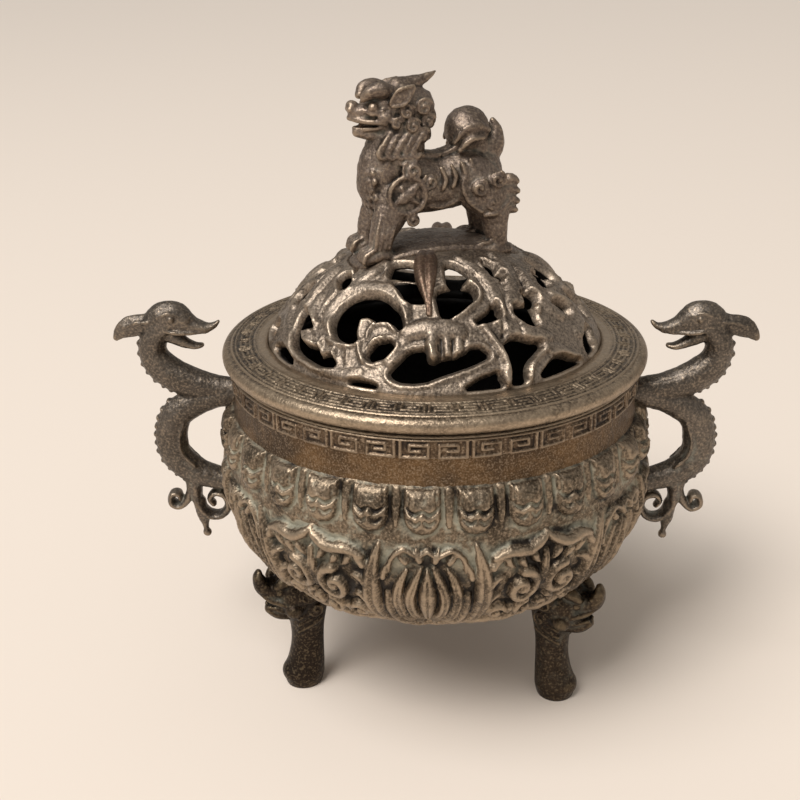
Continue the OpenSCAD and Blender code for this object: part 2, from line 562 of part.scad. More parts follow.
// Lion at its photographed size, walking towards -X, with the dome's crown at the origin
module lion_body() {
    // trunk, then neck and chest
    limb([[-10, 10.6, 4.6, 4], [-5.4, 10, 5.8, 4.8], [0, 9.2, 5.1, 4.5], [5.2, 10.4, 5.2, 4.6],
        [9.2, 10.8, 4, 3.9]],
         2, 10);
    limb([[-8.2, 8.6, 4.8, 4], [-7.4, 13.2, 5.4, 4.6], [-6.2, 17.4, 4.9, 4.4],
        [-6, 21.4, 4.4, 4.2]], 2, 10);
    // skull, upper jaw, lower jaw
    limb([[-2.8, 22.6, 3.6, 3.4], [-6.4, 22.9, 4.3, 4.1], [-9.8, 23.6, 2.6, 3]], 2, 10);
    limb([[-9.4, 22.2, 2.4, 2.6], [-12.4, 22.2, 1.7, 2], [-14.2, 22.4, 1.3, 1.5]]);
    limb([[-8.6, 18.8, 1.9, 2.6], [-11.6, 18.2, 1.2, 1.9], [-13.2, 18.3, 0.9, 1.3]]);
    // horn swept back
    limb([[-5.6, 26.2, 1.4, 1.6], [-2.6, 26.4, 1, 1], [0.2, 27.5, 0.3, 0.3]], 2, 6);
    for (s = [-1, 1]) {
        // bulging brow and ear
        translate([0, s * 1.9, 0])
            limb([[-8.4, 25.4, 1.2, 1.2], [-10.6, 25.3, 1.4, 1.4], [-11.8, 24, 0.9, 1]], 2, 6);
        translate([0, s * 4, 0])
            limb([[-8.2, 23.6, 0.7, 0.6], [-6.6, 24.8, 1.4, 0.7], [-5, 26.2, 0.4, 0.3]], 2, 6);
        // foreleg and paw
        translate([0, s * 3.7, 0]) {
            limb([[-7.4, 8.2, 3.7, 2.1], [-9.4, 4.4, 2.9, 2.1], [-10.6, 1.4, 2.2, 2], [-11, -1.2, 2, 1.9]]);
            limb([[-10.2, -1.6, 1.4, 1.9], [-12.2, -1.5, 1.5, 2.1], [-13.5, -2, 1, 1.8]], 2, 8);
        }
        // haunch, hind leg and paw
        translate([0, s * 3.9, 0]) {
            limb([[5.6, 10.4, 4.3, 2.2], [8, 7.6, 4.3, 2.5], [9.6, 4.2, 2.8, 2.1],
                [9.9, 1.4, 2.1, 1.9], [10.2, -1.6, 1.9, 1.8]]);
            limb([[11.8, -2, 1.3, 1.7], [9.4, -1.6, 1.4, 2], [7, -1.3, 1.1, 1.8]], 2, 8);
        }
        // tuft behind the hock
        translate([0, s * 4.2, 0])
            limb([[10.2, 7.4, 2.2, 1.2], [12.4, 7.2, 2.3, 1], [13.6, 6.8, 1.4, 0.6]], 2, 6);
        // shoulder disc
        translate([-6.3, s * 5.2, 8.7]) rotate([90, 0, 0])
            cylinder(r = 3.5, h = 1.6, center = true, $fn = 16);
    }
    // tail: root, ball and rear lobe
    limb([[7.8, 12.6, 2.4, 2.2], [7.4, 15.4, 2.4, 2.2], [5.8, 18, 3.3, 3.2], [5.2, 19.6, 3.2, 3.2]], 2, 12);
    limb([[9, 13, 2.2, 2], [10.4, 15, 2.3, 1.9], [10.2, 17.2, 1.6, 1.4]], 2, 10);
    // mane locks at the nape and round the throat
    lock(-1.4, 0, 23.4, 2.4);
    lock(-0.9, 0, 20.2, 2.5);
    lock(-1.5, 0, 17.2, 2.3);
    lock(-3.6, 3.6, 20, 1.7);
    lock(-4, 3.7, 16.8, 1.6);
    lock(-7, 3.8, 17, 1.5);
}

module lion() {
    color(bronze)
        union() {
            plate(0, plate_under_r);
            difference() {
                translate([0, 0, crown_z])
                    rotate([0, 0, lion_yaw])
                        scale(lion_s) lion_body();
                translate([0, 0, dome_c]) sphere(r = plate_under_r + plate_t / 2, $fn = 48);
            }
            translate([0, 0, nut_top_z - nut_h - 0.8])
                cylinder(r = stud_r, h = crown_z - nut_top_z + nut_h, $fn = 16);
        }
}

module finial_nut() {
    color(brass)
        translate([0, 0, nut_top_z - nut_h])
            difference() {
                cylinder(d = nut_d, h = nut_h, $fn = 6);
                translate([0, 0, -1]) cylinder(r = stud_r + tenon_clear, h = nut_h + 2);
            }
}

// Loose dish that holds the ash on the bowl's floor
module ash_dish() {
    z = floor_z + seat_gap;
    side = [for (k = [0 : 8])
        bezier([base_r - 2, z], [dish_r * 0.72, z], [dish_r * 0.93, z + dish_h * 0.45],
            [dish_r, z + dish_h], k / 8)];
    color(brass)
        rotate_extrude()
            polygon(concat([[0, z]], side,
                [for (k = [8 : -1 : 0]) [max(side[k][0] - dish_t * (k == 0 ? 0.2 : 0.9), 0),
                                         side[k][1] + dish_t * (1 - k / 8)]],
                [[0, z + dish_t]]));
}

bowl();
leg(leg_turn);  // leg_left
leg(leg_turn + 120);  // leg_right
leg(leg_turn + 240);  // leg_rear
mirror([1, 0, 0]) handle();  // handle_left
handle();  // handle_right
lid_rim();
lid_dome();
lion();
finial_nut();
ash_dish();
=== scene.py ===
"""Tripod bronze incense burner with a lion lid: castings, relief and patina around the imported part.

Lengths in the classes are millimetres, in the part's own frame. Each finished object is in metres,
with its place in its mesh.
"""

from __future__ import annotations

import logging
import math
from dataclasses import dataclass, field
from enum import Enum
from functools import partial
from typing import Iterator, Sequence

import bmesh
import bpy
import numpy as np
from mathutils import Matrix, Vector, noise

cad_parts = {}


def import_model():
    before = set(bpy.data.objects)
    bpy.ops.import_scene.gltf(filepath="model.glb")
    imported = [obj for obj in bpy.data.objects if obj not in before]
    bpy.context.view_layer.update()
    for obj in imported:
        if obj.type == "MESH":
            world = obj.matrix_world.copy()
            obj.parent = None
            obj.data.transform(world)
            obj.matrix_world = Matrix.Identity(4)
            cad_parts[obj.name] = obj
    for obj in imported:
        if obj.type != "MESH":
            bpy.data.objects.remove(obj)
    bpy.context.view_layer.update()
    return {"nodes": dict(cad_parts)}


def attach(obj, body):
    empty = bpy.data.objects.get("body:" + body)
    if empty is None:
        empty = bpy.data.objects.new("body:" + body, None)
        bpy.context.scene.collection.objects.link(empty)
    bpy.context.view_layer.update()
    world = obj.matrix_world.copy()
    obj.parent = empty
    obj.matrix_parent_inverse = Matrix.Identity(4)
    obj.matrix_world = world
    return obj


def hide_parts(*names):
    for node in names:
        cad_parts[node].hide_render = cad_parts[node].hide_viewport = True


LOG = logging.getLogger("incense_burner")
MM = 0.001
IDENTITY = Matrix.Identity(4)
SIDES = (-1, 1)
Rows = Sequence[Sequence[float]]
WELD_MM = 1e-5  # points closer than this are one
FAR_MM = 9.0  # further than any ornament reaches
TINY = 1e-9
SPIN_STEPS = 240
SWELLING_MM = 1.8


def spline(rows: Rows, per: int) -> np.ndarray:
    """Smooth curve through rows of numbers.

    Args:
        rows: The rows that the curve passes through.
        per: Steps from one row to the next.

    Returns:
        One row for each step.
    """
    p = np.asarray(rows, float)
    last = len(p) - 1
    out = []
    for i in range(last):
        a, b, c, d = p[max(i - 1, 0)], p[i], p[i + 1], p[min(i + 2, last)]
        for t in np.arange(per) / per:
            bend = (2 * a - 5 * b + 4 * c - d) * t * t + (3 * b - a - 3 * c + d) * t**3
            out.append(0.5 * (2 * b + (c - a) * t + bend))
    return np.array(out + [p[-1]])


def bezier(ends: Rows, steps: int) -> np.ndarray:
    """Points of a cubic curve through four control points.

    Args:
        ends: The four control points.
        steps: Steps along the curve.

    Returns:
        One point for each step, with both ends.
    """
    a, b, c, d = (np.asarray(p, float) for p in ends)
    t = np.linspace(0, 1, steps + 1)[:, None]
    return a * (1 - t) ** 3 + 3 * b * t * (1 - t) ** 2 + 3 * c * t * t * (1 - t) + d * t**3


def unit(v: np.ndarray) -> np.ndarray:
    """Vectors of length one, along the last axis."""
    return v / np.maximum(np.linalg.norm(v, axis=-1, keepdims=True), 1e-12)


def entries(text: str, mirror: Sequence[float] = ()) -> Iterator[tuple[list[str], np.ndarray]]:
    """Tables written as text: words, a colon and rows of numbers, with a semicolon between entries.

    Args:
        text: The entries, with commas between their rows.
        mirror: Factors for the first columns.

    Yields:
        The words and the rows of each entry.
    """
    for entry in text.split(";"):
        words, _, numbers = entry.partition(":")
        table = np.array([[float(n) for n in row.split()] for row in numbers.split(",")])
        table[:, : len(mirror)] *= mirror
        yield words.split(), table


def frames(points: np.ndarray, side: Sequence[float]) -> tuple[np.ndarray, np.ndarray, np.ndarray]:
    """Directions along, across and out of a path, carried on without twist.

    Args:
        points: The path's points.
        side: Where the across direction points at the start.

    Returns:
        Unit vectors along the path, across it, and square to both.
    """
    along = unit(np.gradient(points, axis=0))
    across = np.empty_like(along)
    v = np.asarray(side, float)
    for i, t in enumerate(along):
        v = unit(v - t * (v @ t))
        across[i] = v
    return along, across, np.cross(across, along)


def linear(code: str) -> tuple[float, float, float, float]:
    """An sRGB hex colour as linear red, green, blue and alpha."""
    parts = [int(code[i : i + 2], 16) / 255 for i in (1, 3, 5)]
    return (*[p / 12.92 if p <= 0.04045 else ((p + 0.055) / 1.055) ** 2.4 for p in parts], 1.0)


def wrapped(points: np.ndarray) -> bmesh.types.BMesh:
    """Closed form from a grid whose points are put in place and welded where they meet.

    Args:
        points: An array of rows, columns and xyz.

    Returns:
        The welded form, with its faces pointing outwards.
    """
    rows, columns = points.shape[:2]
    form = bmesh.new()
    bmesh.ops.create_grid(form, x_segments=columns - 1, y_segments=rows - 1, size=0.5)
    for vert, place in zip(form.verts, points.reshape(-1, 3)):
        vert.co = place
    bmesh.ops.remove_doubles(form, verts=form.verts, dist=WELD_MM)
    bmesh.ops.recalc_face_normals(form, faces=form.faces)
    return form


def turned(profile: Rows, steps: int) -> bmesh.types.BMesh:
    """Ring or vessel spun about Z from a closed half section of radius and height.

    Args:
        profile: Radius and height of each corner of the section.
        steps: Steps in the full turn.

    Returns:
        The closed form.
    """
    form = bmesh.new()
    verts = [form.verts.new((r, 0, z)) for r, z in profile]
    edges = [form.edges.new((a, b)) for a, b in zip(verts, verts[1:] + verts[:1])]
    loop = {"geom": verts + edges, "angle": math.tau, "steps": steps, "use_merge": True}
    bmesh.ops.spin(form, axis=(0, 0, 1), cent=(0, 0, 0), **loop)
    bmesh.ops.remove_doubles(form, verts=form.verts, dist=WELD_MM)
    # an edge that lay on the axis has no faces
    bmesh.ops.delete(form, geom=[edge for edge in form.edges if not edge.link_faces], context="EDGES")
    bmesh.ops.recalc_face_normals(form, faces=form.faces)
    return form


def as_object(form: bmesh.types.BMesh, name: str) -> bpy.types.Object:
    """Object in the scene made of a form, which is freed.

    Args:
        form: The form.
        name: The object's name.

    Returns:
        The object.
    """
    mesh = bpy.data.meshes.new(name)
    form.to_mesh(mesh)
    form.free()
    thing = bpy.data.objects.new(name, mesh)
    bpy.context.scene.collection.objects.link(thing)
    return thing


def coordinates(mesh: bpy.types.Mesh, kind: str = "co") -> np.ndarray:
    """The places of a mesh's vertices, or their outward directions for the kind normal.

    Args:
        mesh: The mesh that is read.
        kind: Either co or normal.

    Returns:
        One row of xyz for each vertex.
    """
    flat = np.empty(len(mesh.vertices) * 3)
    mesh.vertices.foreach_get(kind, flat)
    return flat.reshape(-1, 3)


def move(mesh: bpy.types.Mesh, places: np.ndarray) -> None:
    """Moves a mesh's vertices to new places."""
    mesh.vertices.foreach_set("co", places.ravel())
    mesh.update()


def mark(mesh: bpy.types.Mesh, name: str, values: np.ndarray) -> None:
    """Writes a value for each vertex as an attribute."""
    layer = mesh.attributes.new(name, "FLOAT", "POINT")
    layer.data.foreach_set("value", values.astype(np.float32))


class Clay:
    """Mass of overlapping closed forms that is fused into one cast skin."""

    def __init__(self, place: Matrix = IDENTITY) -> None:
        """Starts with nothing; the forms that are modelled go where place puts them."""
        self.mass = bmesh.new()
        self.place = place

    def take(self, form: bmesh.types.BMesh, place: Matrix = IDENTITY) -> None:
        """Adds a closed form, placed by a matrix, and frees it.

        Args:
            form: The closed form.
            place: The matrix.
        """
        bmesh.ops.transform(form, matrix=place, verts=form.verts)
        bmesh.ops.recalc_face_normals(form, faces=form.faces)
        mesh = bpy.data.meshes.new("form")
        form.to_mesh(mesh)
        form.free()
        self.mass.from_mesh(mesh)
        bpy.data.meshes.remove(mesh)

    def forms(self, text: str, side: int = 1, shift: Sequence[float] = (0, 0, 0)) -> None:
        """Adds limbs, cords, balls and curls that are written as entries.

        A limb may name its faces round and its steps. A ball's row is its middle and one or three radii, and
        a curl's row its middle, radius, turns, strand, start and hand.

        Args:
            text: The entries.
            side: 1 as written, or -1 mirrored in y.
            shift: What is added to each place.
        """
        for (kind, *counts), table in entries(text, (1, side)):
            table[:, :3] += shift
            if kind == "limb":
                self.limb(table, *map(int, counts))
            elif kind == "cord":
                self.cord(table)
            elif kind == "ball":
                for row in table:
                    self.ball(row[:3], row[3:] if len(row) == 6 else row[[3, 3, 3]])
            else:
                for row in table:
                    self.curl(row[:3], row[3], ((1, 0, 0), (0, 0, -side)), *row[4:])

    def limb(self, rows: Rows, sides: int = 14, per: int = 4, side: Sequence[float] = (0, 1, 0)) -> None:
        """Rounded limb with an oval section.

        Args:
            rows: x, y, z, half depth and half width along the limb.
            sides: Faces round the limb.
            per: Steps from one row to the next.
            side: The direction of the width at the start.
        """
        s = spline(rows, per)
        along, across, out = frames(s[:, :3], side)
        angle = np.linspace(0, math.tau, sides + 1)[:, None]
        # the ends are rounded over three rings each, and reach out by 0.8 of the half depth
        last, rounded = len(s) - 1, (0, 0.5, 1.0)
        steps = [(0, a) for a in rounded] + [(i, None) for i in range(last + 1)]
        rings = []
        for i, step in steps + [(last, a) for a in rounded[::-1]]:
            grow, reach = (1.0, 0.0) if step is None else (math.sin(step), math.cos(step) * 0.8 * s[i, 3])
            centre = s[i, :3] + along[i] * reach * (-1 if i == 0 else 1)
            oval = np.cos(angle) * out[i] * s[i, 3] + np.sin(angle) * across[i] * s[i, 4]
            rings.append(centre + grow * oval)
        self.take(wrapped(np.array(rings)), self.place)

    def cord(self, rows: Rows, per: int = 4) -> None:
        """Round raised line: x, y, z and radius along it."""
        self.limb([[*r[:3], r[3], r[3]] for r in rows], 8, per, (0.3, 0.8, 0.5))

    def ball(self, at: Sequence[float], radii: Sequence[float], turn: Matrix = IDENTITY) -> None:
        """Ball or egg at a point, with its three radii along turned axes.

        Args:
            at: Its middle.
            radii: Its radii.
            turn: How its axes are turned.
        """
        form = bmesh.new()
        bmesh.ops.create_icosphere(form, subdivisions=3, radius=1)
        self.take(form, self.place @ Matrix.Translation(at) @ turn @ Matrix.Diagonal((*radii, 1)))

    def curl(
        self, at: Sequence[float], radius: float, axes: Rows,
        turns: float, thick: float, start: float, hand: float,
    ) -> None:
        """Spiral lock of hair on a low boss.

        Args:
            at: The middle of the spiral.
            radius: Radius of its outer turn.
            axes: The two directions of the plane that it lies in.
            turns: How often it goes round.
            thick: Radius of the strand.
            start: Where the outer end lies, in radians.
            hand: 1 or -1 for the way it turns.
        """
        e1, e2 = (np.asarray(a, float) for a in axes)
        face = np.cross(e1, e2)
        # a small lock has room for fewer turns and a thinner strand
        turns = min(turns, 0.9 * radius)
        thick = min(thick, 0.29 * radius / turns)
        t = np.linspace(0, 1, int(18 * turns))
        a = start + hand * math.tau * turns * t
        r = radius * (1 - 0.84 * t)
        path = np.asarray(at) + np.outer(r * np.cos(a), e1) + np.outer(r * np.sin(a), e2)
        path = path + np.outer(0.14 * radius + t * radius * 0.26, face)
        self.cord(np.column_stack([path, thick * (1 - 0.1 * t)]), 2)
        turn = Matrix([[*row, 0] for row in np.column_stack([e1, e2, face])] + [[0, 0, 0, 1]])
        self.ball(at, (radius, radius, 0.2 * radius), turn)

    def fuse(self, name: str, voxel: float, rounds: int) -> bpy.types.Object:
        """One closed skin over all that was taken in.

        Args:
            name: The new object's name.
            voxel: Cell size of the skin.
            rounds: How often the skin is smoothed.

        Returns:
            The new object, still in millimetres.
        """
        lump = as_object(self.mass, "lump")
        cells = lump.modifiers.new("cells", "REMESH")
        cells.mode, cells.voxel_size = "VOXEL", voxel
        skin = bpy.data.meshes.new_from_object(lump.evaluated_get(bpy.context.evaluated_depsgraph_get()))
        bpy.data.meshes.remove(lump.data)
        form = bmesh.new()
        form.from_mesh(skin)
        bpy.data.meshes.remove(skin)
        axes = {f"use_axis_{k}": True for k in "xyz"}
        for _ in range(rounds):
            bmesh.ops.smooth_vert(form, verts=form.verts, factor=0.5, **axes)
        return as_object(form, name)


def closer(old: Sequence[np.ndarray], new: Sequence[np.ndarray]) -> tuple[np.ndarray, ...]:
    """The arrays of new where its first one is smaller, and those of old elsewhere."""
    nearer = new[0] < old[0]
    return tuple(np.where(nearer, b, a) for a, b in zip(old, new))


class Section(Enum):
    """How a raised line is rounded across its width."""

    ROUND = "round"
    FLAT = "flat"
    GROOVED = "grooved"


class Chasing:
    """Height map of an ornament that repeats round a band: u runs along it and v up it."""

    def __init__(self, width: float, low: float, high: float, columns: int, rows: int) -> None:
        """Starts flat.

        Args:
            width: Length of one repeat.
            low: v of the lower edge.
            high: v of the upper edge.
            columns: Cells in one repeat.
            rows: Cells up the band.
        """
        self.u, self.v = np.meshgrid(
            (np.arange(columns) / columns - 0.5) * width, np.linspace(low, high, rows), indexing="xy"
        )
        self.repeats = (-width, 0.0, width)
        self.height = np.zeros_like(self.u)

    @classmethod
    def over(cls, u: np.ndarray, v: np.ndarray) -> Chasing:
        """A flat start on places that are given, with no repeat.

        Args:
            u: The places across.
            v: The places up.

        Returns:
            The flat start.
        """
        art = cls(1.0, 0.0, 1.0, 2, 2)
        art.u, art.v, art.repeats, art.height = u, v, (0.0,), np.zeros_like(u)
        return art

    def apart(self, outline: np.ndarray) -> tuple[np.ndarray, np.ndarray, np.ndarray]:
        """Distance from a closed outline.

        Args:
            outline: The outline's places.

        Returns:
            The distance, below nothing inside the outline, and u and v of the nearest place on it.
        """
        middle = outline.mean(axis=0)
        reach = np.hypot(*(outline - middle).T).max() + 5
        near = np.hypot(self.u - middle[0], self.v - middle[1]) < reach
        u, v = self.u[near], self.v[near]
        inside, best, at_u, at_v = np.zeros(u.shape, bool), np.full(u.shape, FAR_MM), u.copy(), v.copy()
        for a, b in zip(outline, np.roll(outline, -1, axis=0)):
            step = b - a
            t = np.clip(((u - a[0]) * step[0] + (v - a[1]) * step[1]) / max(step @ step, TINY), 0, 1)
            on_u, on_v = a[0] + t * step[0], a[1] + t * step[1]
            away = np.hypot(u - on_u, v - on_v)
            best, at_u, at_v = closer((best, at_u, at_v), (away, on_u, on_v))
            across = (a[1] > v) != (b[1] > v)
            inside ^= across & (u < a[0] + (v - a[1]) * step[0] / (step[1] if abs(step[1]) > TINY else TINY))
        out = [np.full(self.u.shape, FAR_MM), self.u.copy(), self.v.copy()]
        for whole, part in zip(out, (np.where(inside, -best, best), at_u, at_v)):
            whole[near] = part
        return tuple(out)

    def _near(self, rows: np.ndarray) -> tuple[np.ndarray, np.ndarray]:
        """Share of the half width at the nearest stretch of a line, and the line's height there.

        Args:
            rows: Places, half widths and heights along the line.

        Returns:
            The share and the height at each place.
        """
        best, high = np.full(self.u.shape, FAR_MM), np.zeros(self.u.shape)
        for shift in self.repeats:
            for p, q in zip(rows, rows[1:]):
                step = q[:2] - p[:2]
                du, dv = self.u - p[0] - shift, self.v - p[1]
                t = np.clip((du * step[0] + dv * step[1]) / max(step @ step, TINY), 0, 1)
                share = np.hypot(du - t * step[0], dv - t * step[1]) / (p[2] + (q[2] - p[2]) * t)
                best, high = closer((best, high), (share, p[3] + (q[3] - p[3]) * t))
        return best, high

    def forms(self, text: str, side: int = 1) -> None:
        """Adds lines, dents, commas and spirals that are written as entries.

        A line is named by its section. The rows of commas and spirals are what those methods take, with all
        directions in degrees.

        Args:
            text: The entries.
            side: 1 as written, or -1 mirrored in u.
        """
        for (kind,), table in entries(text, (side,)):
            if kind == "comma":
                for u, v, point, *size, bend in table:
                    self.comma(u, v, 90 + side * (point - 90), *size, side * bend)
            elif kind == "spiral":
                for u, v, *size, start, hand in table:
                    self.spiral(u, v, *size, math.radians(90 + side * (start - 90)), side * hand)
            elif kind == "dent":
                self.dent(table)
            else:
                self.line(table, Section(kind))

    def line(self, rows: Rows, section: Section = Section.ROUND, per: int = 5, sharp: bool = False) -> None:
        """Raised line: u, v, half width and height along it. A sharp one keeps its corners.

        Args:
            rows: The line's rows.
            section: Its cross section.
            per: Steps from one row to the next.
            sharp: Whether its corners stay.
        """
        x, high = self._near(np.asarray(rows, float) if sharp else spline(rows, per))
        rounded = np.sqrt(np.clip(1 - x * x, 0, 1))
        rise = {
            Section.ROUND: rounded,
            Section.FLAT: np.clip(np.clip(1 - x, 0, 1) * 2.6, 0, 1),
            Section.GROOVED: rounded * (1 - 0.3 * np.exp(-((x / 0.22) ** 2))),
        }[section]
        self.height = np.maximum(self.height, rise * high)

    def dent(self, rows: Rows, per: int = 5) -> None:
        """Round groove: u, v, half width and depth along it."""
        x, deep = self._near(spline(rows, per))
        self.height -= np.sqrt(np.clip(1 - x * x, 0, 1)) * deep

    def spiral(
        self, u: float, v: float, radius: float, turns: float,
        half: float, high: float, start: float, hand: float,
    ) -> None:
        """Raised volute about a point.

        Args:
            u: The point across.
            v: The point up.
            radius: The volute's radius.
            turns: How often it goes round.
            half: Half width of its line.
            high: Height of its line.
            start: Angle of its first point, in radians.
            hand: Which way it turns.
        """
        t = np.linspace(0, 1, int(16 * turns))
        a = start + hand * math.tau * turns * t
        r = radius * (1 - 0.85 * t)
        rows = [u + r * np.cos(a), v + r * np.sin(a), half * (1 - 0.25 * t), high * (1 + 0.2 * t)]
        self.line(np.column_stack(rows), per=1)

    def comma(
        self, u: float, v: float, point: float, long: float, half: float, high: float, bend: float
    ) -> None:
        """Short curved leaf with a round head, from its head towards a direction in degrees.

        Args:
            u: The head across.
            v: The head up.
            point: The direction.
            long: The leaf's length.
            half: Its half width.
            high: Its height.
            bend: How far it curves, in radians.
        """
        t = np.linspace(0, 1, 7)
        a = math.radians(point) + bend * t
        step = long / 6
        path_u = u + np.append(0, np.cumsum(np.cos(a[:-1]) * step))
        path_v = v + np.append(0, np.cumsum(np.sin(a[:-1]) * step))
        body = np.sin(np.clip(0.25 + 0.75 * t, 0, 1) * math.pi) ** 0.6 * (1 - 0.55 * t)
        rows = [path_u, path_v, half * np.maximum(body, 0.15), high * (1 - 0.4 * t)]
        self.line(np.column_stack(rows), per=2)

    def boss(self, outline: Rows, high: float, shoulder: float, crown: float) -> None:
        """Raised field inside an outline, rounded over its shoulder and swelling to its middle.

        Args:
            outline: The outline's points.
            high: Height at the shoulder.
            shoulder: Width of the shoulder.
            crown: How far the middle swells.
        """
        deep = -self.apart(np.asarray(outline, float))[0]
        x = np.clip(deep / shoulder, 0, 1)
        swell = np.sqrt(np.clip(1 - (1 - x) ** 2, 0, 1)) * high + crown * np.clip(deep / 3, 0, 1)
        self.height = np.where(deep > 0, np.maximum(self.height, swell), self.height)


def collar(
    profile: np.ndarray, outward: np.ndarray, heights: np.ndarray, sunk: float, start: float
) -> bmesh.types.BMesh:
    """Closed ring of relief on a turned wall.

    Args:
        profile: Radius and height of the wall at each row.
        outward: The wall's outward direction at each row, as radius and height.
        heights: Relief at each row and column, once round.
        sunk: How deep the ring's back lies in the wall.
        start: Direction of the middle of the first repeat's start, in radians from the front.

    Returns:
        The closed ring.
    """
    columns = heights.shape[1]
    phi = start + np.arange(columns + 1) * math.tau / columns
    face = np.concatenate([heights, heights[:, :1]], axis=1)
    # the back follows the wall too, in a few rows, so that it stays inside the wall's thickness
    back = np.linspace(len(profile) - 1, 0, 5).round().astype(int)
    lift = np.concatenate([face, np.full((len(back), columns + 1), -sunk), face[:1]])
    base = np.concatenate([profile, profile[back], profile[:1]])
    out = np.concatenate([outward, outward[back], outward[:1]])
    r = base[:, :1] + out[:, :1] * lift
    z = base[:, 1:] + out[:, 1:] * lift
    return wrapped(np.stack([r * np.sin(phi), -r * np.cos(phi), z], axis=-1))


def add_node(
    tree: bpy.types.NodeTree, kind: str, out: str | int = 0, settings: dict | None = None, **inputs: object
) -> bpy.types.NodeSocket | None:
    """Adds a node to a material.

    Args:
        tree: The material's nodes.
        kind: The node's type, without its prefix.
        out: Name or place of the output that is handed back.
        settings: The node's own settings.
        inputs: Values or links by the input's name, or by its place as i0, i1 and so on.

    Returns:
        The output, or nothing for the last node.
    """
    node = tree.nodes.new("ShaderNode" + kind)
    for key, value in (settings or {}).items():
        setattr(node, key, value)
    for key, value in inputs.items():
        socket = node.inputs[int(key[1:]) if key[1:].isdigit() else key.replace("_", " ")]
        if isinstance(value, bpy.types.NodeSocket):
            tree.links.new(value, socket)
        else:
            socket.default_value = value
    return node.outputs[out] if len(node.outputs) else None


